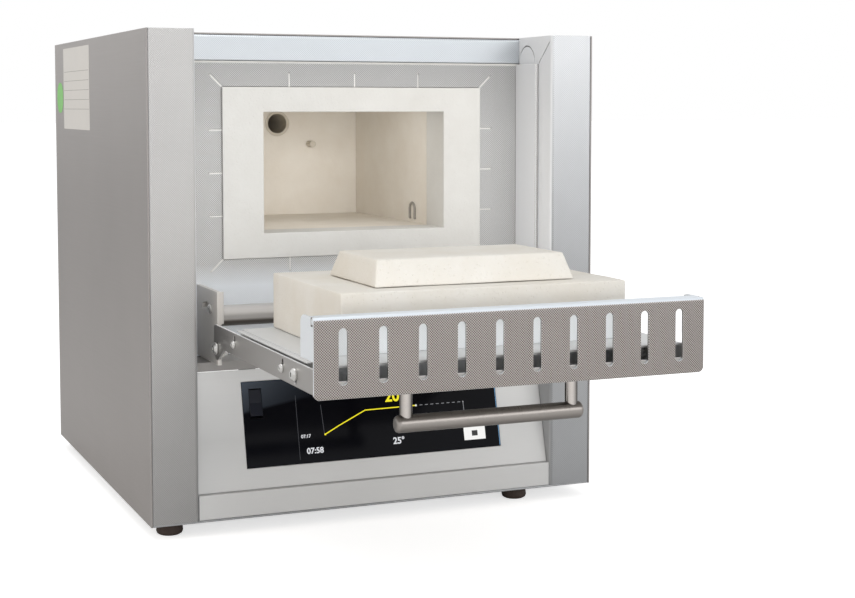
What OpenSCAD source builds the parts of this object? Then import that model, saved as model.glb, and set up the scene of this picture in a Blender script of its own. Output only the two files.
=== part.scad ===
// Benchtop muffle furnace with a flap door that folds down as a work shelf.
// X runs across the front, Y from the front to the back and Z up. The origin lies on the bench, under the
// middle of the furnace as it stands with its door open. Inside place() the sizes count from the middle of
// the pillar fronts (Y = 0) and from the underside of the casing (Z = 0).

/* [Casing] */
// Width of the casing over its side panels
case_w = 380; // [370:1:420]
// Depth of the casing from the pillar fronts to the rear panel
case_d = 382; // [376:1:430]
// Height of the casing without its feet
case_h = 381; // [378:1:400]
// Thickness of the casing sheets
sheet = 1.2; // [0.8:0.1:1.5]
// Width of each front pillar
pillar_w = 37.8; // [34:0.2:40]
// Bend radius of the pillars' inner corners
pillar_bend = 2.6; // [1.5:0.1:4]
// Depth of the recess between the pillars
recess_d = 62; // [60:0.5:65]
// Height of the front rail above the recess
rail_h = 22; // [18:1:26]
// Shadow gap between the front rail and the front sheet
rail_gap = 2; // [1:0.5:4]
// Depth of the rail's top and bottom returns
rail_return = 20; // [12:1:26]
// Air gap between the casing and the insulation
shell_gap = 8.5; // [6:0.5:10]
// Space behind the insulation for the leads
lead_space = 11; // [9:0.5:13]
// Height of the shelf that carries the insulation
shelf_z = 134; // [126:1:138]
// Height of the folded rims of base plate, side panels and top cover
rim = 12; // [8:1:16]

/* [Feet] */
// Diameter of a foot
foot_d = 21; // [16:1:28]
// Height of a foot
foot_h = 10.7; // [6:0.1:20]
// Centre of the left feet from the left side panel
foot_left_inset = 19; // [16:1:40]
// Centre of the right feet from the right side panel
foot_right_inset = 62; // [30:1:80]
// Centre of the feet from the front and the rear
foot_end_inset = 20; // [16:1:50]

/* [Front] */
// Width of the collar beside the chamber
collar_side = 34.5; // [30:0.5:38]
// Height of the collar above and below the chamber
collar_edge = 20.5; // [18:0.5:24]
// Length of the expansion slits
slit_l = 11; // [6:0.5:14]
// Width of the expansion slits
slit_w = 1.3; // [0.8:0.1:2]
// Expansion slits on each side of the collar, corners apart
slit_count = 3; // [3:2:5]
// Height of the sill at the foot of the recess
sill_z = 120.6; // [118:0.2:121]
// Distance of the sill's front flange from the pillar fronts
sill_y = 30; // [26:1:36]
// Height of the sill's front flange
sill_flange = 7.6; // [5:0.2:10]
// Diameter of the half-round moulding low on the front sheet
moulding_d = 17; // [12:1:18]
// Height of the moulding's centre
moulding_z = 152.5; // [150:0.5:155]
// Height of the base strip
strip_h = 21; // [16:1:26]
// Distance of the control panel's lower edge from the pillar fronts
strip_y = 6; // [4:0.5:10]

/* [Chamber] */
// Distance of the chamber from the cheeks of the recess
chamber_side = 72.2; // [70:0.2:78]
// Height of the chamber
chamber_h = 99; // [98:1:108]
// Distance of the chamber's centre from the top of the casing
chamber_down = 113; // [111:1:118]
// Distance of the chamber's back wall from the back of the casing
chamber_behind = 108; // [95:1:130]
// Depth of the front collar
collar_t = 35; // [25:1:45]
// Height of the collar's face over the front sheet
collar_proud = 2; // [0.5:0.5:3]
// Thickness of a heating plate
plate_t = 15; // [12:1:22]
// Thickness of the chamber floor plate
floor_t = 12; // [8:1:20]
// Inner diameter of the exhaust tube
exhaust_d = 18.5; // [12:0.5:22]
// Wall of the exhaust tube
exhaust_wall = 2.8; // [2:0.1:4]
// Height of the exhaust axis under the chamber roof
exhaust_drop = 12; // [11:0.5:30]
// Length of the exhaust tube behind the rear panel
exhaust_stub = 14; // [8:1:40]
// Diameter of the thermocouple sheath
probe_d = 6; // [4:0.5:8]
// Reach of the thermocouple into the chamber
probe_reach = 12; // [8:1:30]
// Diameter of the heating wire
wire_d = 3; // [2:0.2:4]
// Rows of heating wire in a plate
wire_rows = 6; // [4:2:6]

/* [Door] */
// Gap between the slotted door panel and the cheeks of the recess
door_side_gap = 8.7; // [7:0.1:10]
// Height of the slotted door panel
panel_h = 52.5; // [50:0.5:56]
// Gap between the closed door and the top of the casing
door_top_gap = 1; // [0.5:0.5:4]
// Thickness of the door sheets
door_sheet = 1.5; // [1:0.1:1.6]
// Gap between the door tray and the cheeks of the recess
tray_side_gap = 14.2; // [12.5:0.1:15]
// Height of the tray's arms
arm_h = 17; // [15:0.5:18]
// Height of the carrier plate over the tray's underside
carrier_h = 20; // [19:0.5:22]
// Gap between the carrier plate and the tray's arms, arm included
carrier_side_gap = 6; // [5:0.5:9]
// Overlap of the door brick over the chamber on each side
brick_side = 28.5; // [20:0.5:32]
// Overlap of the door brick over the chamber above and below
brick_edge = 15.5; // [12:0.5:18]
// Gap between the plug's foot and the chamber's sides
plug_side_gap = 3; // [2:0.5:4]
// Gap between the plug's foot and the chamber's floor and roof
plug_edge_gap = 2.5; // [2.5:0.5:5]
// Thickness of the plug
plug_t = 19; // [12:0.5:20]
// Taper of the plug's left and right sides
plug_taper = 5; // [3:0.5:12]
// Taper of the plug's upper and lower sides, which swing past the collar
plug_lead = 9; // [8:0.5:12]
// Extra height of the door brick below the collar
brick_skirt = 18; // [0:0.5:18]
// Number of slots in the door panel
slot_count = 10; // [6:2:10]
// Distance of the outer slots from the door panel's ends
slot_end = 19.75; // [16:0.25:24]
// Width of a slot
slot_w = 6; // [4:0.5:10]
// Length of a slot
slot_l = 36.5; // [25:0.5:40]

/* [Hinge] */
// Distance of the hinge axis in front of the pillar fronts
hinge_out = 3; // [3:0.5:4]
// Height of the hinge axis
hinge_z = 136; // [135:0.5:137]
// Diameter of the hinge pins
pin_d = 6; // [5:0.5:7]
// Radius of the eye at the end of an arm
eye_r = 9; // [7:0.5:9.5]
// Thickness of the hinge brackets
bracket_t = 3; // [2:0.5:3]
// Height of the hinge brackets
bracket_h = 57; // [54:1:60]

/* [Handle] */
// Diameter of the handle bar
bar_d = 12; // [10:0.5:14]
// Length of the handle bar
bar_l = 142; // [136:1:180]
// Diameter of the handle posts
post_d = 9; // [6:0.5:9]
// Spacing of the handle posts
post_span = 126; // [100:1:126]
// Distance of the bar's axis from the door
bar_drop = 28.6; // [25:0.2:36]
// Distance of the bar's axis from the top of the casing, door closed
bar_down = 45; // [36:1:60]

/* [Control panel] */
// Distance of the display glass from the cheeks of the recess
glass_side = 41.7; // [37:0.1:52]
// Height of the display glass along the slope
glass_h = 68; // [60:1:70]
// Thickness of the display glass
glass_t = 3; // [2:0.5:3]
// Distance of the glass from the panel's lower edge
glass_up = 16.5; // [12:0.5:18]
// Width of the mains rocker
rocker_w = 10; // [8:0.5:12]
// Height of the mains rocker
rocker_h = 21; // [18:0.5:24]
// Tilt of the rocker to either side of its middle position
rocker_tilt = 6; // [4:0.5:8]
// Centre of the rocker from the glass's left edge
rocker_inset = 10.5; // [9:0.5:16]
// Centre of the rocker from the glass's lower edge
rocker_up = 50.5; // [40:0.5:52]

/* [Fits] */
// Clearance between pieces that are fixed to each other
gap = 0.3; // [0.2:0.05:0.35]
// Radial clearance of turning pins
run_gap = 0.05; // [0.02:0.01:0.1]
// Gap between the closed door brick and the front collar
seal_gap = 0.5; // [0.4:0.1:1]
// Radial clearance of fixed screws in their holes
hole_gap = 0.15; // [0.1:0.05:0.3]

/* [Hidden] */
$fn = 48;

steel = [0.77, 0.76, 0.74];
side_steel = [0.62, 0.59, 0.57];
dark_steel = [0.45, 0.44, 0.43];
bright_steel = [0.85, 0.85, 0.84];
fibre = [0.91, 0.90, 0.88];
brick = [0.89, 0.86, 0.80];
ceramic = [0.80, 0.76, 0.69];
black_glass = [0.03, 0.035, 0.05];
black_plastic = [0.08, 0.08, 0.09];
board_green = [0.10, 0.32, 0.20];
brass = [0.78, 0.62, 0.30];
rubber = [0.20, 0.15, 0.12];

// Casing
side_x = case_w / 2;
inner_x = side_x - sheet - gap;
cheek_x = side_x - pillar_w;
sheet_front = recess_d;
sheet_back = recess_d + sheet;
collar_y = recess_d - collar_proud;
rear_face = case_d - sheet;
rail_z = case_h - rail_h;
chamber_w = 2 * (cheek_x - chamber_side);
chamber_z = case_h - chamber_down;
chamber_back = case_d - chamber_behind;
collar_w = chamber_w + 2 * collar_side;
collar_h = chamber_h + 2 * collar_edge;
foot_y = [foot_end_inset, case_d - foot_end_inset];
foot_x = [foot_left_inset - side_x, side_x - foot_right_inset];

// Control panel slope, from the base strip's top to the sill's flange
sill_foot_z = sill_z - sill_flange;
panel_rise = sill_foot_z - strip_h;
panel_run = sill_y - sheet - strip_y;
panel_tilt = atan2(panel_run, panel_rise);
panel_l = norm([panel_run, panel_rise]) - gap;
panel_x = cheek_x - gap;
liner_front = 24;
liner_rise = 3;
liner_top = rail_z - 1;
glass_w = 2 * (cheek_x - glass_side);

// Chamber and insulation
wool_x = inner_x - shell_gap;
wool_front = sheet_back + gap;
wool_mid = sheet_front + collar_t;
wool_back = rear_face - lead_space;
wool_foot = shelf_z + sheet;
wool_top = rail_z - gap;
floor_z = chamber_z - chamber_h / 2;
roof_z = chamber_z + chamber_h / 2;
plate_foot = floor_z - floor_t;
plate_x = chamber_w / 2 + plate_t;
exhaust_z = roof_z - exhaust_drop;
tube_d = exhaust_d + 2 * exhaust_wall;
probe_x = 32;
probe_z = chamber_z + 18;
wire_pitch = chamber_h / wire_rows;
wire_front = wool_mid + wire_pitch;
wire_back = chamber_back - wire_pitch;
wire_x = chamber_w / 2 + plate_t * 0.55;

// Door: heights and depths of the closed door turn into the open door's places
function open_y(closed_z) = hinge_z - hinge_out - closed_z;
function open_z(closed_y) = hinge_z + hinge_out + closed_y;
skin_offset = 1;
tray_z = hinge_z + skin_offset;
panel_y = open_y(case_h - door_top_gap);
door_w = 2 * (cheek_x - door_side_gap);
arm_x = cheek_x - tray_side_gap;
carrier_w = 2 * (arm_x - carrier_side_gap);
brick_w = chamber_w + 2 * brick_side;
brick_h = chamber_h + 2 * brick_edge;
plug_w = chamber_w - 2 * plug_side_gap;
plug_h = chamber_h - 2 * plug_edge_gap;
slot_pitch = (door_w - 2 * slot_end) / (slot_count - 1);
carrier_z = tray_z + carrier_h;
carrier_front = panel_y + 8;
brick_y = open_y(chamber_z);
brick_top = open_z(collar_y - seal_gap);
bar_y = open_y(case_h - bar_down);
tray_rear = -hinge_out - eye_r - 2;
bracket_x = arm_x - door_sheet - 0.2;
bracket_inner = bracket_x - bracket_t;
bracket_z = hinge_z - 14;
bracket_top = bracket_z + bracket_h;
bracket_eye_r = 7;
flange_top = bracket_top - 8;
bracket_front = 1;
carrier_rear = open_y(bracket_top + 6);
carrier_flange_rear = open_y(bracket_top + 1);
heel_x = bracket_inner - 4.8;
heel_rear = 20;
stop_gap = 0.3;
stop_reach = 12;
bracket_flange = 2;

// Screws and small fittings
screw_d = 4;
head_d = 7.5;
head_h = 2.4;
carrier_screw_y = [carrier_flange_rear - 4, -166];
level_screw_y = -194;
carrier_screw_z = tray_z + 8.5;
clamp_y = 20;
clamp_z = hinge_z + 28;
slot_r = 39;

// Rocker
rocker_x = rocker_inset - glass_w / 2;
rocker_s = glass_up + rocker_up;
rocker_pivot = 4.5;
rocker_deep = 6;
rocker_pin_d = 2.4;
window_w = rocker_w + 2 * gap;
window_h = rocker_h + 2.6;
housing_wall = 2;
housing_deep = 20;

// The furnace's middle lies halfway between the open door and the exhaust tube
front_y = -(panel_y + case_d + exhaust_stub) / 2;

module place() {
  translate([0, front_y, foot_h])
    children();
}

// Cuboid between two corners
module slab(low, high) {
  translate(low)
    cube(high - low);
}

// Outline drawn in Y and Z, carried along X
module run_x(x0, x1) {
  translate([x0, 0, 0])
    rotate([90, 0, 90])
      linear_extrude(x1 - x0)
        children();
}

// Outline drawn in X and Z, carried along Y
module run_y(y0, y1) {
  translate([0, y1, 0])
    rotate([90, 0, 0])
      linear_extrude(y1 - y0)
        children();
}

// Outline drawn in X and Y, carried along Z
module run_z(z0, z1) {
  translate([0, 0, z0])
    linear_extrude(z1 - z0)
      children();
}

// Folded sheet: straight runs between points on its middle line, with round bends
module folded(points, t) {
  for (i = [0:len(points) - 2]) {
    reach = points[i + 1] - points[i];
    translate(points[i])
      rotate(atan2(reach[1], reach[0]))
        translate([0, -t / 2])
          square([norm(reach), t]);
  }
  for (i = [1:1:len(points) - 2])
    translate(points[i])
      circle(d = t);
}

// Quarter of a round bend on the middle line radius r, turned from the first quadrant
module bend(centre, r, t, turn) {
  translate(centre)
    rotate(turn)
      intersection() {
        difference() {
          circle(r + t / 2);
          circle(r - t / 2);
        }
        square(r + t);
      }
}

module both_sides() {
  children();
  mirror([1, 0, 0])
    children();
}

module rod_x(d, x0, x1) {
  translate([x0, 0, 0])
    rotate([0, 90, 0])
      cylinder(d = d, h = x1 - x0);
}

module rod_y(d, y0, y1) {
  translate([0, y1, 0])
    rotate([90, 0, 0])
      cylinder(d = d, h = y1 - y0);
}

// Slot outline with round ends, upright
module obround(w, l) {
  square([w, l - w], center = true);
  for (s = [-1, 1])
    translate([0, s * (l - w) / 2])
      circle(d = w);
}

// Pan-head screw: its head stands on Z = 0 and its shank hangs below
module screw(d, l, hd = head_d, hh = head_h) {
  difference() {
    union() {
      cylinder(d = hd, h = hh * 0.45);
      translate([0, 0, hh * 0.45])
        cylinder(d1 = hd, d2 = hd * 0.6, h = hh * 0.55);
    }
    translate([0, 0, hh * 0.5])
      cylinder(d = hd * 0.4, h = hh, $fn = 6);
  }
  translate([0, 0, -l])
    cylinder(d = d, h = l);
}

// Panel outline with rounded corners
module rounded_panel(w, h, r) {
  square([w - 2 * r, h], center = true);
  square([w, h - 2 * r], center = true);
  for (sx = [-1, 1], sy = [-1, 1])
    translate([sx * (w / 2 - r), sy * (h / 2 - r)])
      circle(r);
}

// Half ring in the YZ plane that joins two wire rows
module wire_bend(d, y, z, side) {
  translate([0, y, z])
    rotate([0, 90, 0])
      rotate([0, 0, side > 0 ? 0 : 180])
        rotate_extrude(angle = 180)
          translate([wire_pitch / 2, 0])
            circle(d = d);
}

floor_slot_pitch = 22;
floor_slot = [5, 42];
floor_slot_y = [110, 260];

module base_plate() {
  color(steel)
    place()
      difference() {
        union() {
          slab([-inner_x, gap, 0], [inner_x, rear_face - gap, sheet]);
          both_sides()
            run_y(sheet_back + gap, rear_face - gap)
              folded([[inner_x - sheet / 2, sheet / 2], [inner_x - sheet / 2, rim]], sheet);
        }
        for (x = foot_x, y = foot_y)
          translate([x, y, -1])
            cylinder(d = screw_d + 2 * hole_gap, h = sheet + 2);
        for (i = [-4:4], y = floor_slot_y)
          translate([i * floor_slot_pitch, y, -1])
            linear_extrude(sheet + 2)
              obround(floor_slot[0], floor_slot[1]);
      }
}

module foot() {
  rotate_extrude()
    polygon([
      [0, -foot_h], [foot_d / 2 - 2.5, -foot_h], [foot_d / 2 - 0.8, -foot_h + 1],
      [foot_d / 2, -foot_h + 3], [foot_d / 2 - 1, 0], [0, 0]
    ]);
}

module feet() {
  color(rubber)
    place()
      for (x = foot_x, y = foot_y)
        translate([x, y, 0]) {
          foot();
          cylinder(d = screw_d, h = sheet + 0.5);
          translate([0, 0, sheet])
            cylinder(d = head_d, h = head_h);
        }
}

// Side panel: outer sheet with rims folded inwards at the top and the rear
module side_panel() {
  slab([side_x - sheet, 0, 0], [side_x, case_d, case_h]);
  slab([side_x - rim, sheet_back + 2 * gap, case_h - 2 * sheet - gap],
       [side_x - sheet / 2, rear_face - gap, case_h - sheet - gap]);
  slab([side_x - rim, rear_face - sheet - gap, rim + 2 * sheet],
       [side_x - sheet / 2, rear_face - gap, case_h - 2 * sheet - gap]);
}

module left_side_panel() {
  color(side_steel)
    place()
      mirror([1, 0, 0])
        side_panel();
}

module right_side_panel() {
  color(side_steel)
    place()
      side_panel();
}

// Pillar: front face, cheek of the recess and a return along the side panel
module pillar() {
  t = sheet / 2;
  r = pillar_bend;
  run_z(sheet, case_h) {
    folded([[inner_x - t, rim + sheet], [inner_x - t, t], [cheek_x + t + r, t]], sheet);
    bend([cheek_x + t + r, t + r], r, sheet, 180);
    folded([[cheek_x + t, t + r], [cheek_x + t, sheet_front - gap]], sheet);
    folded([[cheek_x + t, sheet_front - gap - t], [cheek_x + t + rim, sheet_front - gap - t]], sheet);
  }
  run_z(case_h - sheet, case_h)
    difference() {
      translate([cheek_x + t, t])
        square([inner_x - cheek_x - t, sheet_front - gap - t]);
      translate([cheek_x, 0])
        square(r + t);
    }
  run_z(case_h - sheet, case_h)
    translate([cheek_x + t + r, t + r])
      circle(r);
}

module left_pillar() {
  color(steel)
    place()
      mirror([1, 0, 0])
        pillar();
}

arch_r = 15;
arch_y = recess_d - 15.5;
arch_z = rail_z;
cut_w = 0.8;
cut_slope = 41;

// Laser-cut lines high on the right cheek: an arch over the door contact and a broken diagonal
module cheek_cuts() {
  difference() {
    translate([arch_y, arch_z])
      circle(arch_r);
    translate([arch_y, arch_z])
      circle(arch_r - cut_w);
    translate([arch_y - arch_r - 1, arch_z - arch_r - 1])
      square([2 * arch_r + 2, arch_r + 1]);
  }
  translate([liner_front, arch_z])
    rotate(180 - cut_slope)
      for (reach = [[0, 6], [8, 26]])
        translate([reach[0], 0])
          square([reach[1] - reach[0], cut_w]);
}

module right_pillar() {
  color(steel)
    place()
      difference() {
        pillar();
        run_x(cheek_x - 1, cheek_x + sheet + 1)
          cheek_cuts();
      }
}

// Raised strip on each cheek with folded edges, from the sill up to the height of the rail
module cheek_liners() {
  t = sheet / 2;
  x = cheek_x - liner_rise + t;
  color(steel)
    place()
      both_sides()
        run_z(sill_z, liner_top) {
          folded([[x + t, liner_front + t], [cheek_x - gap, liner_front + t]], sheet);
          bend([x + t + t, liner_front + t + t], t, sheet, 180);
          folded([[x, liner_front + sheet], [x, sheet_front - gap]], sheet);
        }
}

module top_cover() {
  t = sheet / 2;
  color(steel)
    place() {
      run_x(-inner_x, inner_x)
        folded([
          [sheet_front + sheet + gap, case_h - t], [rear_face - gap - t, case_h - t]
        ], sheet);
      both_sides()
        slab([side_x - rim - sheet, sheet_front + rail_return + 4, case_h - sheet - gap - rim],
             [side_x - rim - gap, rear_face - 3 * sheet, case_h - sheet]);
    }
}

module front_rail() {
  t = sheet / 2;
  color(steel)
    place()
      run_x(-cheek_x - rim, cheek_x + rim)
        folded([
          [sheet_front + rail_return, case_h - sheet - gap - t],
          [sheet_front + sheet + t, case_h - sheet - gap - t],
          [sheet_front + t, case_h - sheet - gap - t - sheet],
          [sheet_front + t, rail_z + t],
          [sheet_front + rail_return, rail_z + t]
        ], sheet);
}

vent_w = 44;
vent_h = 4;
vent_pitch = 10;
vent_rows = 7;
vent_column = 62;
vent_edge = 22;
inlet_x = inner_x - 60.5;
inlet_z = 52;
inlet_w = 27.4;
inlet_h = 19.8;

module rear_panel() {
  color(steel)
    place()
      difference() {
        run_y(rear_face, case_d)
          translate([0, case_h / 2])
            square([2 * inner_x, case_h - 2 * sheet - 2 * gap], center = true);
        translate([0, 0, exhaust_z])
          rod_y(tube_d + 2 * gap, rear_face - 1, case_d + 1);
        for (column = [-1:1], row = [0:vent_rows - 1])
          run_y(rear_face - 1, case_d + 1)
            translate([column * vent_column - vent_column / 2, vent_edge + row * vent_pitch])
              rotate(90)
                obround(vent_h, vent_w);
        for (column = [-1, 1], row = [0:vent_rows - 3])
          run_y(rear_face - 1, case_d + 1)
            translate([column * vent_column, case_h - vent_edge - row * vent_pitch])
              rotate(90)
                obround(vent_h, vent_w);
        run_y(rear_face - 1, case_d + 1)
          translate([inlet_x, inlet_z])
            rounded_panel(inlet_w + 2 * gap, inlet_h + 2 * gap, 3);
        for (p = rear_screw_places())
          translate([p[0], 0, p[1]])
            rod_y(screw_d + 2 * hole_gap, rear_face - 1, case_d + 1);
      }
}

function rear_screw_places() = [
  for (x = [-1, 1], z = [30, case_h / 2, case_h - 30]) [x * (inner_x - rim / 2 + sheet), z]
];

module rear_screws() {
  color(bright_steel)
    place()
      for (p = rear_screw_places())
        translate([p[0], case_d, p[1]])
          rotate([-90, 0, 0])
            screw(screw_d, sheet + gap);
}

shelf_slot = [6, 60];

module insulation_shelf() {
  t = sheet / 2;
  x = inner_x - sheet - gap - t;
  color(steel)
    place()
      difference() {
        run_y(sheet_back + gap, rear_face - sheet - 3 * gap)
          folded([[-x, sheet], [-x, shelf_z + t], [x, shelf_z + t], [x, sheet]], sheet);
        for (y = [shelf_slot[1] + 50:40:rear_face - 30])
          translate([0, y, shelf_slot[1]])
            run_x(-inner_x, inner_x)
              obround(shelf_slot[0], shelf_slot[1]);
      }
}

// Slits that let the front sheet grow round the hot collar
module slits() {
  half = (slit_count - 1) / 2;
  for (i = [-half:half], s = [-1, 1])
    translate([i * collar_w / (slit_count + 1), chamber_z + s * (collar_h + slit_l) / 2])
      square([slit_w, slit_l + 1], center = true);
  for (i = [-half:half], s = [-1, 1])
    translate([s * (collar_w + slit_l) / 2, chamber_z + i * collar_h / (slit_count + 1)])
      square([slit_l + 1, slit_w], center = true);
  for (sx = [-1, 1], sz = [-1, 1])
    translate([sx * collar_w / 2, chamber_z + sz * collar_h / 2])
      rotate(sx * sz > 0 ? 45 : -45)
        square([2.6 * slit_l, slit_w], center = true);
}

module front_sheet() {
  color(steel)
    place()
      difference() {
        run_y(sheet_front, sheet_back)
          difference() {
            translate([0, (sill_z + rail_z - rail_gap) / 2])
              square([2 * (cheek_x + rim), rail_z - rail_gap - sill_z], center = true);
            translate([0, chamber_z])
              square([collar_w, collar_h], center = true);
            slits();
          }
        for (p = lug_screw_places())
          translate([p[0], 0, p[1]])
            rod_y(screw_d + 2 * hole_gap, sheet_front - 1, sheet_back + 1);
      }
}

module sill() {
  t = sheet / 2;
  color(steel)
    place()
      run_x(-panel_x, panel_x)
        folded([
          [sheet_back + 4, sill_z - gap - t], [sill_y - t, sill_z - gap - t],
          [sill_y - t, sill_foot_z]
        ], sheet);
}

moulding_x = bracket_inner - 16;

module sill_moulding() {
  color(dark_steel)
    place()
      run_x(-moulding_x, moulding_x)
        difference() {
          translate([sheet_front, moulding_z])
            circle(d = moulding_d);
          translate([sheet_front, moulding_z])
            circle(d = moulding_d - 2 * sheet);
          translate([sheet_front, moulding_z - moulding_d])
            square(2 * moulding_d);
        }
}

module base_strip() {
  t = sheet / 2;
  color(steel)
    place()
      run_x(-panel_x, panel_x)
        folded([
          [1.5 + t + rim, sheet + t], [1.5 + t, sheet + t], [1.5 + t, strip_h - gap - t],
          [strip_y + t + sheet, strip_h - gap - t]
        ], sheet);
}

// Frame of the sloping panel: X across, Y into the panel and Z up its slope
module on_slope() {
  translate([0, strip_y, strip_h])
    rotate([-panel_tilt, 0, 0])
      children();
}

module control_panel() {
  color(steel)
    place()
      on_slope()
        difference() {
          slab([-panel_x, 0, 0], [panel_x, sheet, panel_l]);
          slab([-glass_w / 2 - gap, -1, glass_up - gap],
               [glass_w / 2 + gap, sheet + 1, glass_up + glass_h + gap]);
        }
}

module display_glass() {
  color(black_glass)
    place()
      on_slope()
        difference() {
          slab([-glass_w / 2, -0.6, glass_up], [glass_w / 2, glass_t - 0.6, glass_up + glass_h]);
          slab([rocker_x - window_w / 2, -1, rocker_s - window_h / 2],
               [rocker_x + window_w / 2, glass_t, rocker_s + window_h / 2]);
        }
}

screen_x = [48.5 - glass_w / 2, glass_w / 2 - 10.5];

module screen_module() {
  color(black_plastic)
    place()
      on_slope()
        difference() {
          slab([screen_x[0], glass_t - 0.6, glass_up + 3], [screen_x[1], glass_t + 5, glass_up + glass_h - 3]);
          slab([screen_x[0] + 3, glass_t + 2, glass_up + 6],
               [screen_x[1] - 3, glass_t + 6, glass_up + glass_h - 6]);
        }
}

module controller_board() {
  color(board_green)
    place()
      on_slope() {
        slab([screen_x[0] + 6, glass_t + 9, glass_up + 2],
             [screen_x[1] - 6, glass_t + 10.6, glass_up + glass_h - 2]);
        for (x = [screen_x[0] + 10, screen_x[1] - 10], z = [glass_up + 9, glass_up + glass_h - 9])
          translate([x, 0, z])
            rod_y(5, glass_t + 2, glass_t + 9);
        slab([-11, glass_t + 10.6, glass_up + 20], [11, glass_t + 13, glass_up + 42]);
        slab([screen_x[1] - 55, glass_t + 10.6, glass_up + 8], [screen_x[1] - 17, glass_t + 20, glass_up + 20]);
        for (i = [0:2])
          translate([screen_x[0] + 20 + i * 14, 0, glass_up + 48])
            rod_y(8, glass_t + 10.6, glass_t + 20);
      }
}

// Housing behind the glass: an open box whose side walls carry the rocker's pins
module rocker_housing() {
  x0 = rocker_w / 2 + gap;
  x1 = x0 + housing_wall;
  z0 = window_h / 2;
  z1 = z0 + housing_wall;
  color(black_plastic)
    place()
      on_slope()
        translate([rocker_x, 0, rocker_s]) {
          difference() {
            slab([-x1, glass_t - 0.6, -z1], [x1, housing_deep, z1]);
            slab([-x0, -1, -z0], [x0, housing_deep - 5, z0]);
            translate([0, rocker_pivot, 0])
              rod_x(rocker_pin_d + 2 * run_gap, -x1 - 1, x1 + 1);
          }
          for (s = [-1, 1])
            slab([-3, housing_deep, s * 7 - 0.4], [3, housing_deep + 8, s * 7 + 0.4]);
        }
}

// Rocker at rest: pressed in at its upper half
module mains_rocker() {
  dip = rocker_h / 2 * tan(rocker_tilt);
  reach = rocker_w / 2 + gap + housing_wall;
  color(black_plastic)
    place()
      on_slope()
        translate([rocker_x, rocker_pivot, rocker_s])
          rotate([-rocker_tilt, 0, 0]) {
            run_x(-rocker_w / 2, rocker_w / 2)
              polygon([
                [-rocker_pivot, 0], [-rocker_pivot - dip, rocker_h / 2],
                [-rocker_pivot - dip + rocker_deep, rocker_h / 2], [rocker_deep - 1, 0],
                [-rocker_pivot - dip + rocker_deep, -rocker_h / 2], [-rocker_pivot - dip, -rocker_h / 2]
              ]);
            rod_x(rocker_pin_d, -reach, reach);
          }
}

module front_collar() {
  color(fibre)
    place()
      run_y(collar_y, wool_mid)
        difference() {
          translate([0, chamber_z])
            square([collar_w - 2 * gap, collar_h - 2 * gap], center = true);
          translate([0, chamber_z])
            square([chamber_w, chamber_h], center = true);
        }
}

module front_board() {
  color(fibre)
    place()
      run_y(wool_front, wool_mid)
        difference() {
          translate([0, (wool_foot + wool_top) / 2])
            square([2 * wool_x, wool_top - wool_foot], center = true);
          translate([0, chamber_z])
            square([collar_w, collar_h], center = true);
        }
}

module bottom_insulation() {
  color(fibre)
    place()
      slab([-wool_x, wool_mid + gap, wool_foot], [wool_x, wool_back, plate_foot]);
}

module top_insulation() {
  color(fibre)
    place()
      slab([-wool_x, wool_mid + gap, roof_z + gap], [wool_x, wool_back, wool_top]);
}

module side_wool() {
  slab([plate_x + gap, wool_mid + gap, plate_foot], [wool_x, chamber_back - gap, roof_z + gap]);
}

module left_insulation() {
  color(fibre)
    place()
      mirror([1, 0, 0])
        side_wool();
}

module right_insulation() {
  color(fibre)
    place()
      side_wool();
}

module rear_insulation() {
  color(fibre)
    place()
      difference() {
        slab([-wool_x, chamber_back, plate_foot], [wool_x, wool_back, roof_z + gap]);
        translate([0, 0, exhaust_z])
          rod_y(tube_d, chamber_back - 1, wool_back + 1);
        translate([probe_x, 0, probe_z])
          rod_y(probe_d, chamber_back - 1, wool_back + 1);
        both_sides()
          for (z = lead_rows())
            translate([wire_x, 0, z])
              rod_y(wire_d, chamber_back - 1, wool_back + 1);
      }
}

function wire_z(row) = floor_z + (row + 0.5) * wire_pitch;
function lead_rows() = [wire_z(0), wire_z(wire_rows - 1)];

// Meander of heating wire: rows along Y joined by half rings, open at its rear ends
module meander(d) {
  for (row = [0:wire_rows - 1]) {
    lead = row == 0 || row == wire_rows - 1;
    translate([0, 0, wire_z(row)])
      rod_y(d, wire_front, lead ? wool_back + 8 : wire_back);
  }
  for (row = [0:wire_rows - 2])
    wire_bend(d, row % 2 == 0 ? wire_front : wire_back, wire_z(row) + wire_pitch / 2,
              row % 2 == 0 ? 1 : -1);
}

staple_d = 2;
staple_y = wool_mid + 31;
staple_r = 5.5;
staple_low = 4;
staple_high = 12;
staple_grip = 4;

module staple_tails() {
  for (s = [-1, 1])
    translate([0, staple_y + s * staple_r, floor_z + staple_low])
      rod_x(staple_d, chamber_w / 2 - staple_d / 2, chamber_w / 2 + staple_grip);
}

module heating_plate() {
  difference() {
    slab([chamber_w / 2, wool_mid + gap, plate_foot], [plate_x, chamber_back - gap, roof_z]);
    translate([wire_x, 0, 0])
      meander(wire_d);
    staple_tails();
  }
}

module left_heating_plate() {
  color(ceramic)
    place()
      mirror([1, 0, 0])
        heating_plate();
}

module right_heating_plate() {
  color(ceramic)
    place()
      heating_plate();
}

module heating_wires() {
  color(dark_steel)
    place()
      both_sides()
        translate([wire_x, 0, 0])
          meander(wire_d);
}

module wire_terminals() {
  color(brass)
    place()
      both_sides()
        for (z = lead_rows())
          difference() {
            translate([wire_x, wool_back + 1, z])
              slab([-4, 0, -5], [4, 6, 5]);
            translate([wire_x, 0, z])
              rod_y(wire_d, wool_back, wool_back + 9);
          }
}

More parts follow.
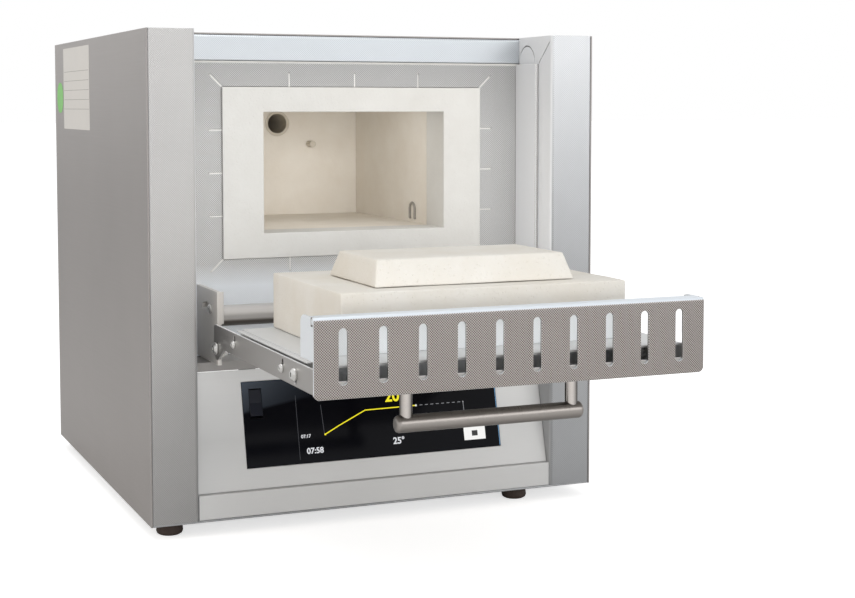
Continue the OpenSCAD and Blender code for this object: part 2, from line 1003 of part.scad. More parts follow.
// Wire staples low on the heating plates, with their ends bent into the plates
module plate_staples() {
  color(dark_steel)
    place()
      both_sides() {
        staple_tails();
        translate([chamber_w / 2 - staple_d / 2, staple_y, floor_z]) {
          for (s = [-1, 1])
            translate([0, s * staple_r, staple_low]) {
              cylinder(d = staple_d, h = staple_high - staple_low);
              sphere(d = staple_d);
            }
          translate([0, 0, staple_high])
            rotate([90, 0, 90])
              rotate_extrude(angle = 180)
                translate([staple_r, 0])
                  circle(d = staple_d);
        }
      }
}

module chamber_floor() {
  color(ceramic)
    place()
      slab([-chamber_w / 2, wool_mid + gap, plate_foot], [chamber_w / 2, chamber_back - gap, floor_z]);
}

module thermocouple() {
  color(ceramic)
    place()
      translate([probe_x, 0, probe_z]) {
        rod_y(probe_d, chamber_back - probe_reach, wool_back);
        rod_y(probe_d + 8, wool_back, wool_back + 7);
      }
}

module exhaust_tube() {
  color(ceramic)
    place()
      translate([0, 0, exhaust_z])
        difference() {
          rod_y(tube_d, chamber_back, case_d + exhaust_stub);
          rod_y(exhaust_d, chamber_back - 1, case_d + exhaust_stub + 1);
        }
}

module exhaust_flange() {
  color(steel)
    place()
      translate([0, 0, exhaust_z])
        difference() {
          rod_y(tube_d + 16, case_d, case_d + 2);
          rod_y(tube_d, case_d - 1, case_d + 3);
        }
}

module power_inlet() {
  color(black_plastic)
    place()
      translate([inlet_x, 0, inlet_z])
        difference() {
          union() {
            run_y(case_d, case_d + 2)
              rounded_panel(inlet_w + 22, inlet_h + 6, 5);
            run_y(case_d - 22, case_d)
              rounded_panel(inlet_w, inlet_h, 3);
          }
          difference() {
            run_y(case_d - 16, case_d + 3)
              rounded_panel(inlet_w - 4, inlet_h - 4, 2);
            for (x = [-7, 0, 7])
              slab([x - 1, case_d - 17, x == 0 ? 1 : -4], [x + 1, case_d - 4, x == 0 ? 5 : 0]);
          }
          for (s = [-1, 1])
            translate([s * (inlet_w / 2 + 6), 0, 0])
              rod_y(3.4, case_d - 1, case_d + 3);
        }
}

sink_x = [30, 120];
sink_y = [rear_face - 150, rear_face - 60];
sink_z = 26;
fin_h = 18;
fin_t = 2;
fin_pitch = 11;

module heat_sink() {
  color(bright_steel)
    place()
      run_y(sink_y[0], sink_y[1])
        union() {
          translate([sink_x[0], sheet + fin_h])
            square([sink_x[1] - sink_x[0], sink_z - fin_h]);
          for (x = [sink_x[0]:fin_pitch:sink_x[1] - fin_t])
            translate([x, sheet])
              square([fin_t, fin_h + 1]);
        }
}

relay = [45, 58, 22];
relay_screw = 6;

module solid_state_relay() {
  color(black_plastic)
    place()
      translate([(sink_x[0] + sink_x[1]) / 2, (sink_y[0] + sink_y[1]) / 2, sheet + sink_z]) {
        slab([-relay[0] / 2, -relay[1] / 2, 0], [relay[0] / 2, relay[1] / 2, relay[2]]);
        for (sx = [-1, 1], sy = [-1, 1])
          translate([sx * (relay[0] / 2 - 10), sy * (relay[1] / 2 - relay_screw), relay[2]])
            cylinder(d = relay_screw, h = 2.5);
      }
}

block = [54, 22, 24];
block_x = -33;
block_y = rear_face - 70;
pole_pitch = 10.5;
pole_d = 4;

module terminal_block() {
  color(fibre)
    place()
      translate([block_x, block_y, sheet])
        difference() {
          slab([-block[0] / 2, -block[1] / 2, 0], [block[0] / 2, block[1] / 2, block[2]]);
          for (i = [-2:2])
            translate([i * pole_pitch, 0, 9])
              rod_y(pole_d, -block[1], block[1]);
          for (i = [-2:2])
            translate([i * pole_pitch, 0, 15])
              cylinder(d = pole_d + 0.5, h = block[2]);
        }
}

module door_contact() {
  color(black_plastic)
    place()
      slab([cheek_x + sheet, arch_y - 12, rail_z - 3],
           [cheek_x + sheet + 14, arch_y + 14, rail_z + 9]);
}

function lug_screw_places() = [
  for (s = [-1, 1], z = [bracket_z + 7, flange_top - 7]) [s * (bracket_inner - 8), z]
];

// Hinge bracket: upright plate with a curved levelling slot, front and rear flanges and a stop tab
module hinge_bracket() {
  run_x(bracket_inner, bracket_x)
    difference() {
      union() {
        translate([bracket_front, bracket_z])
          square([sheet_front - bracket_front, bracket_h]);
        translate([-hinge_out, hinge_z])
          circle(r = bracket_eye_r);
        translate([-hinge_out, hinge_z - bracket_eye_r])
          square([hinge_out + 6, 2 * bracket_eye_r]);
      }
      intersection() {
        translate([clamp_y + 12, clamp_z - 37])
          difference() {
            circle(r = slot_r + screw_d / 2 + hole_gap);
            circle(r = slot_r - screw_d / 2 - hole_gap);
          }
        translate([clamp_y, clamp_z - 6])
          square([26, 12]);
      }
      translate([clamp_y, clamp_z])
        circle(d = screw_d + 2 * hole_gap);
      translate([-hinge_out, hinge_z])
        circle(d = pin_d);
    }
  run_y(sheet_front - bracket_flange, sheet_front)
    difference() {
      translate([bracket_inner - 15, bracket_z])
        square([15 + bracket_t / 2, flange_top - bracket_z]);
      for (z = [bracket_z + 7, flange_top - 7])
        translate([bracket_inner - 8, z])
          circle(d = screw_d + 2 * hole_gap);
    }
  slab([bracket_inner - bracket_flange, bracket_front, tray_z + arm_h],
       [bracket_inner + 1, bracket_front + bracket_flange, bracket_top]);
  stop_z = tray_z + door_sheet + stop_gap;
  slab([heel_x - stop_reach, heel_rear - 10, stop_z],
       [bracket_inner + 1, heel_rear + 4, stop_z + bracket_flange]);
}

module hinge_brackets() {
  color(steel)
    place()
      both_sides()
        hinge_bracket();
}

lug_t = 3;

// Lugs inside the brackets that take the clamp screws
module hinge_lugs() {
  color(dark_steel)
    place()
      both_sides()
        run_x(bracket_inner - lug_t, bracket_inner)
          difference() {
            translate([clamp_y - 8, clamp_z - 13])
              square([sheet_front - bracket_flange - clamp_y + 8, 22]);
            translate([clamp_y, clamp_z])
              circle(d = screw_d);
          }
}

module bracket_screws() {
  color(bright_steel)
    place()
      for (p = lug_screw_places())
        translate([p[0], sheet_front - bracket_flange, p[1]])
          rotate([90, 0, 0])
            screw(screw_d, bracket_flange + sheet);
}

nut_t = 3;
nut_across = 7;

// Hexagon nut with its bore, from x0 to x1
module nut(d, across, x0, x1) {
  difference() {
    translate([x0, 0, 0])
      rotate([0, 90, 0])
        cylinder(d = across / cos(30), h = x1 - x0, $fn = 6);
    rod_x(d, x0 - 1, x1 + 1);
  }
}

module clamp_screws() {
  color(bright_steel)
    place()
      both_sides()
        translate([0, clamp_y, clamp_z]) {
          translate([bracket_x, 0, 0])
            rotate([0, 90, 0])
              screw(screw_d, bracket_t + lug_t + nut_t + 1);
          nut(screw_d, nut_across, bracket_inner - lug_t - nut_t, bracket_inner - lug_t);
        }
}

module hinge_pins() {
  color(bright_steel)
    place()
      both_sides()
        translate([0, -hinge_out, hinge_z]) {
          translate([arm_x + gap, 0, 0])
            rotate([0, 90, 0])
              screw(pin_d, arm_x + gap - bracket_inner + nut_t + 1.5, 10, 3);
          nut(pin_d, nut_across + 3, bracket_inner - nut_t - 0.5, bracket_inner);
        }
}

// Arm of the tray with the eye for the hinge pin
module arm_outline() {
  y = -hinge_out;
  top = tray_z + arm_h;
  difference() {
    union() {
      polygon([
        [tray_rear - 8, tray_z], [y - 2, hinge_z - eye_r], [y, hinge_z - eye_r],
        [y + eye_r, hinge_z], [y + eye_r, top - 4], [y + eye_r - 4, top],
        [tray_rear - 8, top]
      ]);
      translate([y, hinge_z])
        circle(r = eye_r);
      translate([y + eye_r - 4, top - 4])
        circle(r = 4);
    }
    translate([y, hinge_z])
      circle(d = pin_d + 2 * run_gap);
  }
}

module door_tray() {
  t = door_sheet / 2;
  front = panel_y + door_sheet;
  color(steel)
    place()
      difference() {
        union() {
          run_y(front, tray_rear)
            folded([
              [-arm_x + t, tray_z + arm_h], [-arm_x + t, tray_z + t],
              [arm_x - t, tray_z + t], [arm_x - t, tray_z + arm_h]
            ], door_sheet);
          both_sides()
            run_x(arm_x - door_sheet, arm_x)
              arm_outline();
          slab([-heel_x, tray_rear - 1, tray_z], [heel_x, heel_rear, tray_z + door_sheet]);
          slab([-arm_x + 8, front, tray_z], [arm_x - 8, front + door_sheet, tray_z + 11]);
        }
        for (y = carrier_screw_y)
          translate([0, y, carrier_screw_z + 2.2])
            run_x(-arm_x - 1, arm_x + 1)
              obround(screw_d + 2 * hole_gap, 9);
        translate([0, level_screw_y, carrier_screw_z - 2.2])
          run_x(-arm_x - 1, arm_x + 1)
            obround(screw_d + 1 + 2 * hole_gap, 10);
        for (s = [-1, 1])
          translate([s * post_span / 2, bar_y, tray_z - 1])
            cylinder(d = screw_d + 2 * hole_gap, h = door_sheet + 2);
      }
}

panel_lip = 12;
panel_bend = 2;
panel_return = 26;
panel_slot_z = tray_z + panel_h / 2 + 0.7;

module slotted_panel() {
  t = door_sheet / 2;
  r = panel_bend;
  top = tray_z + panel_h;
  color(steel)
    place() {
      run_y(panel_y, panel_y + door_sheet)
        difference() {
          union() {
            translate([0, tray_z + panel_h / 2])
              square([door_w, panel_h - 2 * (r + t)], center = true);
            translate([0, tray_z + panel_h / 2 - (r + t) / 2])
              rounded_panel(door_w, panel_h - r - t, 4);
          }
          for (i = [0:slot_count - 1])
            translate([(i - (slot_count - 1) / 2) * slot_pitch, panel_slot_z])
              obround(slot_w, slot_l);
        }
      run_x(-door_w / 2, door_w / 2)
        bend([panel_y + t + r, top - t - r], r, door_sheet, 90);
      run_x(-door_w / 2 + 2, door_w / 2 - 2)
        folded([[panel_y + t + r, top - t], [panel_y + panel_lip, top - t]], door_sheet);
      both_sides()
        run_x(door_w / 2 - door_sheet, door_w / 2)
          union() {
            translate([panel_y + door_sheet, top - 28])
              square([panel_return - door_sheet, 22]);
            translate([panel_y + door_sheet + 2 * r, top - 28])
              square([panel_return - door_sheet - 6 - 2 * r, 28]);
            translate([panel_y + t + r, top - t - r])
              circle(r);
            translate([panel_y + panel_return - 6, top - 6])
              circle(r = 6);
          }
    }
}

module brick_carrier() {
  t = door_sheet / 2;
  x = carrier_w / 2 - t;
  foot = tray_z + door_sheet;
  color(bright_steel)
    place()
      difference() {
        union() {
          run_y(carrier_front, carrier_rear)
            folded([[-x, foot], [-x, carrier_z - t], [x, carrier_z - t], [x, foot]], door_sheet);
          both_sides()
            slab([x - t, carrier_rear - 1, foot], [x + t, carrier_flange_rear, carrier_z - 2]);
        }
        for (y = [carrier_screw_y[0], carrier_screw_y[1]])
          translate([0, y, carrier_screw_z])
            rod_x(screw_d, -carrier_w, carrier_w);
        translate([0, level_screw_y, carrier_screw_z])
          rod_x(screw_d + 1, -carrier_w, carrier_w);
      }
}

module door_brick() {
  color(brick)
    place()
      slab([-brick_w / 2, brick_y - brick_h / 2, carrier_z],
           [brick_w / 2, brick_y + brick_h / 2 + brick_skirt, brick_top]);
}

// View of the tapered plug, of the given foot length and taper
module plug_outline(middle, foot, taper) {
  half = foot / 2;
  polygon([
    [middle - half, brick_top], [middle + half, brick_top],
    [middle + half - taper, brick_top + plug_t], [middle - half + taper, brick_top + plug_t]
  ]);
}

module door_plug() {
  color(brick)
    place()
      intersection() {
        run_y(brick_y - plug_h / 2, brick_y + plug_h / 2)
          plug_outline(0, plug_w, plug_taper);
        run_x(-plug_w / 2, plug_w / 2)
          plug_outline(brick_y, plug_h, plug_lead);
      }
}

module carrier_screws() {
  nut_x = carrier_w / 2 - door_sheet;
  color(bright_steel)
    place()
      both_sides() {
        for (y = carrier_screw_y)
          translate([0, y, carrier_screw_z]) {
            translate([arm_x, 0, 0])
              rotate([0, 90, 0])
                screw(screw_d, arm_x - nut_x + nut_t + 1, 6.4, 2.6);
            nut(screw_d, nut_across, nut_x - nut_t, nut_x);
          }
        translate([0, level_screw_y, carrier_screw_z]) {
          translate([arm_x, 0, 0])
            rotate([0, 90, 0])
              screw(screw_d + 1, arm_x - nut_x + nut_t + 2, 9, 3.6);
          nut(screw_d + 1, nut_across + 1, nut_x - nut_t - 1, nut_x);
        }
      }
}

module handle_posts() {
  color(bright_steel)
    place()
      difference() {
        for (s = [-1, 1])
          translate([s * post_span / 2, bar_y, tray_z - bar_drop])
            difference() {
              cylinder(d = post_d, h = bar_drop);
              translate([0, 0, bar_drop - 10])
                cylinder(d = screw_d, h = 11);
            }
        translate([0, bar_y, tray_z - bar_drop])
          rod_x(bar_d, -bar_l, bar_l);
      }
}

// Handle bar, turned from round stock with rounded ends
module handle_bar() {
  r = 3;
  color(steel)
    place()
      translate([-bar_l / 2, bar_y, tray_z - bar_drop])
        rotate([0, 90, 0])
          rotate_extrude()
            union() {
              square([bar_d / 2 - r, bar_l]);
              translate([0, r])
                square([bar_d / 2, bar_l - 2 * r]);
              for (z = [r, bar_l - r])
                translate([bar_d / 2 - r, z])
                  circle(r);
            }
}

module handle_screws() {
  color(bright_steel)
    place()
      for (s = [-1, 1])
        translate([s * post_span / 2, bar_y, tray_z + door_sheet])
          screw(screw_d, door_sheet + 9);
}

base_plate();
feet();
left_side_panel();
right_side_panel();
left_pillar();
right_pillar();
cheek_liners();
top_cover();
front_rail();
rear_panel();
rear_screws();
insulation_shelf();
front_sheet();
sill();
sill_moulding();
base_strip();
control_panel();
display_glass();
screen_module();
controller_board();
rocker_housing();
mains_rocker();
front_collar();
front_board();
bottom_insulation();
top_insulation();
left_insulation();
right_insulation();
rear_insulation();
left_heating_plate();
right_heating_plate();
heating_wires();
wire_terminals();
plate_staples();
chamber_floor();
thermocouple();
exhaust_tube();
exhaust_flange();
power_inlet();
heat_sink();
solid_state_relay();
terminal_block();
door_contact();
hinge_brackets();
hinge_lugs();
bracket_screws();
clamp_screws();
hinge_pins();
door_tray();
slotted_panel();
brick_carrier();
door_brick();
door_plug();
carrier_screws();
handle_posts();
handle_bar();
handle_screws();
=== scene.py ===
"""Looks of the bench muffle furnace: finishes for its sheet metal, fibre, brick and glass, softened bricks,
the folded sheet and the ledges of the brick carrier, fibre in the expansion slits, the lit screen, two bare
labels, and the studio round it all. Lengths are in metres unless a comment says otherwise."""

import math

import bmesh
import bpy
from mathutils import Matrix, Vector


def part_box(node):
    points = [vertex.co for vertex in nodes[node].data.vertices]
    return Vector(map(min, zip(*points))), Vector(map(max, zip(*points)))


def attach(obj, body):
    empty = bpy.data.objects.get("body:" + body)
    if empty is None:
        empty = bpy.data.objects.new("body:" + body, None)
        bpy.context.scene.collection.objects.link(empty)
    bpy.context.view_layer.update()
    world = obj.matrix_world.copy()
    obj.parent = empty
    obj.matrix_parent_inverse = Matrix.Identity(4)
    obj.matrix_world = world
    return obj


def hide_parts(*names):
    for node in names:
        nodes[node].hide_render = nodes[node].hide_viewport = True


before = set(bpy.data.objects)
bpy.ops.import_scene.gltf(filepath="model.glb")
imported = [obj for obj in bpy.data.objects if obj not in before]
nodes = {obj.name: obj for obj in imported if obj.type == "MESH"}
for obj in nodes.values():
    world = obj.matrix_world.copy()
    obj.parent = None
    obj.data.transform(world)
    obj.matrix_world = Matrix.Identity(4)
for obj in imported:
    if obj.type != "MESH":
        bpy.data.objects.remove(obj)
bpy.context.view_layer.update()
bpy.ops.object.select_all(action="DESELECT")


WHITE = (1, 1, 1, 1)
# Colour of the painted highlight along the edges of metal
PAINTED_EDGE_HIGHLIGHT = (0.92, 0.92, 0.92, 1)
RUBBED_FIBRE = (0.92, 0.91, 0.88, 1)
RIM_SHADE = (0.08, 0.075, 0.07, 1)
# How steeply the masks of the effects rise from 0 to 1
MASK_GAIN = 4.0
FADE_LABELS = ("Low", "Middle", "High", "Foot", "Waist", "Head")


# Colours and node helpers


def srgb(red, green, blue):
    """Linear colour from 0 to 255 values as a screen shows them."""
    values = [c / 255 for c in (red, green, blue)]
    linear = [c / 12.92 if c <= 0.04045 else ((c + 0.055) / 1.055) ** 2.4 for c in values]
    return (*linear, 1)


def toned(color, factor, lift=0.0):
    """A constant colour times a factor, plus a lift."""
    return (*(min(c * factor + lift, 1) for c in color[:3]), 1)


def new_effect(name, inputs, outputs):
    """An empty node group, with inputs (label, kind, value) and outputs (label, kind)."""
    tree = bpy.data.node_groups.new(name, "ShaderNodeTree")
    for label, kind, value in inputs:
        socket = tree.interface.new_socket(label, in_out="INPUT", socket_type=kind)
        socket.default_value = value
    for label, kind in outputs:
        tree.interface.new_socket(label, in_out="OUTPUT", socket_type=kind)
    return tree, tree.nodes.new("NodeGroupInput"), tree.nodes.new("NodeGroupOutput")


def feed(tree, socket, value):
    """Links a socket to another one, or sets its constant."""
    if isinstance(value, bpy.types.NodeSocket):
        tree.links.new(value, socket)
    else:
        socket.default_value = value


def calc(tree, operation, first, second=0.0, clamp=False):
    """Output of a math node. Clamped, it stays between 0 and 1."""
    node = tree.nodes.new("ShaderNodeMath")
    node.operation = operation
    node.use_clamp = clamp
    feed(tree, node.inputs[0], first)
    feed(tree, node.inputs[1], second)
    return node.outputs[0]


def mix_color(tree, amount, first, second, blend="MIX"):
    """The first colour at amount 0, blended with the second at 1."""
    node = tree.nodes.new("ShaderNodeMix")
    node.data_type = "RGBA"
    node.blend_type = blend
    feed(tree, node.inputs["Factor"], amount)
    feed(tree, node.inputs[6], first)
    feed(tree, node.inputs[7], second)
    return node.outputs[2]


def spread(tree, value, low, high):
    """Carries a value from 0 to 1 over to the range from low to high."""
    node = tree.nodes.new("ShaderNodeMapRange")
    feed(tree, node.inputs["Value"], value)
    feed(tree, node.inputs["To Min"], low)
    feed(tree, node.inputs["To Max"], high)
    return node.outputs["Result"]


# Shared effects


def build_linen_relief():
    """Diamond relief of rolled stainless sheet: Relief goes from 0 in the dips to 1 on the pads, which
    lie in staggered rows, Pitch apart in a row."""
    tree, inside, outside = new_effect(
        "linen_relief",
        [("Pitch", "NodeSocketFloat", 0.00175)],
        [("Relief", "NodeSocketFloat")],
    )
    place = tree.nodes.new("ShaderNodeTexCoord")
    axes = tree.nodes.new("ShaderNodeSeparateXYZ")
    tree.links.new(place.outputs["Object"], axes.inputs[0])
    along = calc(tree, "ADD", axes.outputs["X"], axes.outputs["Y"])
    waves = calc(tree, "DIVIDE", 2 * math.pi, inside.outputs["Pitch"])
    columns = calc(tree, "SINE", calc(tree, "MULTIPLY", along, waves))
    rows = calc(tree, "SINE", calc(tree, "MULTIPLY", axes.outputs["Z"], waves))
    steepness, middle = 0.9, 0.5
    cells = calc(tree, "MULTIPLY", columns, rows)
    relief = calc(tree, "MULTIPLY_ADD", cells, steepness, clamp=True)
    relief.node.inputs[2].default_value = middle
    tree.links.new(relief, outside.inputs["Relief"])
    return tree


def build_brushed_grain():
    """Fine parallel scratches: Stretch is the noise scale along each axis, small along the scratches."""
    tree, inside, outside = new_effect(
        "brushed_grain",
        [("Stretch", "NodeSocketVector", (20, 20, 2500))],
        [("Grain", "NodeSocketFloat")],
    )
    place = tree.nodes.new("ShaderNodeTexCoord")
    scaled = tree.nodes.new("ShaderNodeVectorMath")
    scaled.operation = "MULTIPLY"
    tree.links.new(place.outputs["Object"], scaled.inputs[0])
    tree.links.new(inside.outputs["Stretch"], scaled.inputs[1])
    noise = tree.nodes.new("ShaderNodeTexNoise")
    noise.inputs["Scale"].default_value = 1
    noise.inputs["Detail"].default_value = 3
    tree.links.new(scaled.outputs[0], noise.inputs["Vector"])
    tree.links.new(noise.outputs["Fac"], outside.inputs["Grain"])
    return tree


def build_clouding():
    """Soft uneven patches, as on wiped metal or pressed fibre."""
    tree, inside, outside = new_effect(
        "clouding",
        [("Scale", "NodeSocketFloat", 12.0), ("Detail", "NodeSocketFloat", 3.0)],
        [("Tone", "NodeSocketFloat")],
    )
    place = tree.nodes.new("ShaderNodeTexCoord")
    noise = tree.nodes.new("ShaderNodeTexNoise")
    noise.inputs["Roughness"].default_value = 0.6
    tree.links.new(place.outputs["Object"], noise.inputs["Vector"])
    tree.links.new(inside.outputs["Scale"], noise.inputs["Scale"])
    tree.links.new(inside.outputs["Detail"], noise.inputs["Detail"])
    tree.links.new(noise.outputs["Fac"], outside.inputs["Tone"])
    return tree


def build_edge_glint_and_wear():
    """Rounds an edge's shading over Radius and marks it for painted highlights and wear: Edge is 1 on a sharp
    corner and 0 on a flat.
    """
    tree, inside, outside = new_effect(
        "edge_glint_and_wear",
        [("Radius", "NodeSocketFloat", 0.0006)],
        [("Normal", "NodeSocketVector"), ("Edge", "NodeSocketFloat")],
    )
    rounding = tree.nodes.new("ShaderNodeBevel")
    rounding.samples = 6
    tree.links.new(inside.outputs["Radius"], rounding.inputs["Radius"])
    surface = tree.nodes.new("ShaderNodeNewGeometry")
    facing = tree.nodes.new("ShaderNodeVectorMath")
    facing.operation = "DOT_PRODUCT"
    tree.links.new(rounding.outputs[0], facing.inputs[0])
    tree.links.new(surface.outputs["Normal"], facing.inputs[1])
    turned = calc(tree, "SUBTRACT", 1.0, facing.outputs["Value"])
    tree.links.new(calc(tree, "MULTIPLY", turned, MASK_GAIN, clamp=True), outside.inputs["Edge"])
    tree.links.new(rounding.outputs[0], outside.inputs["Normal"])
    return tree


def build_glass_sheen():
    """Soft sheen on the upper left of the display: Sheen is 0 under a slanting line and outside it."""
    tree, inside, outside = new_effect(
        "glass_sheen",
        [
            ("Left", "NodeSocketFloat", -0.11),
            ("Width", "NodeSocketFloat", 0.075),
            ("Foot", "NodeSocketFloat", 0.089),
        ],
        [("Sheen", "NodeSocketFloat")],
    )
    slant, softness, growth, start = 0.163, 0.0025, 26.0, 0.3
    place = tree.nodes.new("ShaderNodeTexCoord")
    axes = tree.nodes.new("ShaderNodeSeparateXYZ")
    tree.links.new(place.outputs["Object"], axes.inputs[0])
    across = calc(tree, "SUBTRACT", axes.outputs["X"], inside.outputs["Left"])
    line = calc(tree, "ADD", inside.outputs["Foot"], calc(tree, "MULTIPLY", across, slant))
    over = calc(tree, "SUBTRACT", axes.outputs["Z"], line)
    edge = calc(tree, "DIVIDE", over, softness, clamp=True)
    rise = calc(tree, "ADD", calc(tree, "MULTIPLY", over, growth), start, clamp=True)
    passed = calc(tree, "DIVIDE", across, inside.outputs["Width"])
    fade = calc(tree, "SUBTRACT", 1.0, passed, clamp=True)
    sheen = calc(tree, "MULTIPLY", calc(tree, "MULTIPLY", edge, rise), fade)
    tree.links.new(sheen, outside.inputs["Sheen"])
    return tree


def build_facing():
    """Marks where a face looks in its piece's own axes: Side to the left or right, and further than Beyond
    from the middle, Top upward, Under downward."""
    tree, inside, outside = new_effect(
        "facing",
        [("Beyond", "NodeSocketFloat", 0.0)],
        [("Side", "NodeSocketFloat"), ("Top", "NodeSocketFloat"), ("Under", "NodeSocketFloat")],
    )
    # Least parts of the normal across and upright at which a face counts
    least_across, least_upright = 0.6, 0.25
    place = tree.nodes.new("ShaderNodeTexCoord")
    normal = tree.nodes.new("ShaderNodeSeparateXYZ")
    spot = tree.nodes.new("ShaderNodeSeparateXYZ")
    tree.links.new(place.outputs["Normal"], normal.inputs[0])
    tree.links.new(place.outputs["Object"], spot.inputs[0])
    aside = calc(tree, "SUBTRACT", calc(tree, "ABSOLUTE", normal.outputs["X"]), least_across)
    far = calc(tree, "GREATER_THAN", calc(tree, "ABSOLUTE", spot.outputs["X"]), inside.outputs["Beyond"])
    side = calc(tree, "MULTIPLY", calc(tree, "MULTIPLY", aside, MASK_GAIN, clamp=True), far)
    tree.links.new(side, outside.inputs["Side"])
    for label, sign in (("Top", 1), ("Under", -1)):
        upright = calc(tree, "MULTIPLY", normal.outputs["Z"], sign)
        level = calc(tree, "SUBTRACT", upright, least_upright)
        tree.links.new(calc(tree, "MULTIPLY", level, MASK_GAIN, clamp=True), outside.inputs[label])
    return tree


def build_painted_light_by_height():
    """Painted light and shade, evenly changing with height: Fade goes through Low, Middle and High at Foot,
    Waist and Head.
    """
    tree, inside, outside = new_effect(
        "painted_light_by_height",
        [(label, "NodeSocketFloat", 1.0) for label in FADE_LABELS],
        [("Fade", "NodeSocketFloat")],
    )
    place = tree.nodes.new("ShaderNodeTexCoord")
    axes = tree.nodes.new("ShaderNodeSeparateXYZ")
    tree.links.new(place.outputs["Object"], axes.inputs[0])
    given = inside.outputs

    def part(start, end, low, high):
        node = tree.nodes.new("ShaderNodeMapRange")
        tree.links.new(axes.outputs["Z"], node.inputs["Value"])
        tree.links.new(start, node.inputs["From Min"])
        tree.links.new(end, node.inputs["From Max"])
        feed(tree, node.inputs["To Min"], low)
        feed(tree, node.inputs["To Max"], high)
        return node.outputs["Result"]

    lower = part(given["Foot"], given["Waist"], given["Low"], given["Middle"])
    gain = calc(tree, "SUBTRACT", given["High"], given["Middle"])
    upper = part(given["Waist"], given["Head"], 0.0, gain)
    tree.links.new(calc(tree, "ADD", lower, upper), outside.inputs["Fade"])
    return tree


def build_brick_pores():
    """Open pores of light brick and fibre: Pores is 1 in a pit, Relief the height of the surface."""
    tree, inside, outside = new_effect(
        "brick_pores",
        [("Scale", "NodeSocketFloat", 700.0), ("Share", "NodeSocketFloat", 0.3)],
        [("Pores", "NodeSocketFloat"), ("Relief", "NodeSocketFloat")],
    )
    place = tree.nodes.new("ShaderNodeTexCoord")
    cells = tree.nodes.new("ShaderNodeTexVoronoi")
    cells.feature = "F1"
    tree.links.new(place.outputs["Object"], cells.inputs["Vector"])
    tree.links.new(inside.outputs["Scale"], cells.inputs["Scale"])
    fine = tree.nodes.new("ShaderNodeTexNoise")
    fine.inputs["Detail"].default_value = 4
    tree.links.new(place.outputs["Object"], fine.inputs["Vector"])
    tree.links.new(inside.outputs["Scale"], fine.inputs["Scale"])
    depth = calc(tree, "SUBTRACT", inside.outputs["Share"], cells.outputs["Distance"])
    pores = calc(tree, "MULTIPLY", depth, MASK_GAIN, clamp=True)
    relief = calc(tree, "SUBTRACT", fine.outputs["Fac"], pores)
    tree.links.new(pores, outside.inputs["Pores"])
    tree.links.new(relief, outside.inputs["Relief"])
    return tree


LINEN = build_linen_relief()
GRAIN = build_brushed_grain()
CLOUD = build_clouding()
EDGE = build_edge_glint_and_wear()
PORES = build_brick_pores()
SHEEN = build_glass_sheen()
FACING = build_facing()
HEIGHT_LIGHT = build_painted_light_by_height()


def effect(tree, group, **values):
    """Outputs of a shared effect, put into a material's tree."""
    node = tree.nodes.new("ShaderNodeGroup")
    node.node_tree = group
    for label, value in values.items():
        feed(tree, node.inputs[label], value)
    return node.outputs


def new_finish(name):
    """A new material with its node tree and its Principled shader."""
    material = bpy.data.materials.new(name)
    material.use_nodes = True
    tree = material.node_tree
    return material, tree, tree.nodes["Principled BSDF"]


def bump(tree, height, depth, normal=None):
    """A normal for a relief that is depth high, on top of another normal."""
    node = tree.nodes.new("ShaderNodeBump")
    node.inputs["Strength"].default_value = 1.0
    node.inputs["Distance"].default_value = depth
    tree.links.new(height, node.inputs["Height"])
    if normal is not None:
        tree.links.new(normal, node.inputs["Normal"])
    return node.outputs["Normal"]


# Finishes


def height_tone(tree, fade):
    """Output of the height fade for its six values, in the order of FADE_LABELS."""
    return effect(tree, HEIGHT_LIGHT, **dict(zip(FADE_LABELS, fade)))["Fade"]


def lit_by_height(tree, color, fade):
    """A colour with painted light and shade that change with height. No fade leaves it as it is."""
    if fade is None:
        return color
    return mix_color(tree, 1.0, color, height_tone(tree, fade), "MULTIPLY")


def clouded(tree, color, tone, least, shade):
    """A colour darkened where the clouding is low, down to a shade of 0 to 1. A lower least means larger
    patches."""
    patches = mix_color(tree, spread(tree, tone, least, 1.0), (shade, shade, shade, 1), WHITE)
    return mix_color(tree, 1.0, color, patches, "MULTIPLY")


def dressed_faces(tree, shader, color, glint, metal, fade=None, foot=None, beyond=0.0, dark_rim=0.0, **faces):
    """Sets the shader's colour and metalness.

    Faces named Side, Top or Under have their own (colour, metalness, fade), mostly painted light and shade on
    the faces that look that way. Side counts further than beyond from the middle. The fade paints light and
    shade
    that change with height. The foot is (colour, start, end): a painted highlight that gives way between two
    heights. The glint is a painted highlight on edges, and dark_rim paints shade on faces that turn away from
    the eye."""
    color = lit_by_height(tree, color, fade)
    if foot is not None:
        foot_highlight, start, end = foot
        color = mix_color(tree, height_tone(tree, (1.0, 0.0, 0.0, start, end, 1.0)), color, foot_highlight)
    for label, (other_color, other_metal, other_fade) in faces.items():
        other_color = lit_by_height(tree, other_color, other_fade)
        mask = effect(tree, FACING, Beyond=beyond)[label]
        color = mix_color(tree, mask, color, other_color)
        metal = spread(tree, mask, metal, other_metal)
    color = mix_color(tree, glint, color, PAINTED_EDGE_HIGHLIGHT)
    if dark_rim:
        view = tree.nodes.new("ShaderNodeLayerWeight")
        view.inputs["Blend"].default_value = 0.5
        rim = calc(tree, "MULTIPLY", view.outputs["Facing"], dark_rim, clamp=True)
        color = mix_color(tree, rim, color, RIM_SHADE)
    tree.links.new(color, shader.inputs["Base Color"])
    feed(tree, shader.inputs["Metallic"], metal)


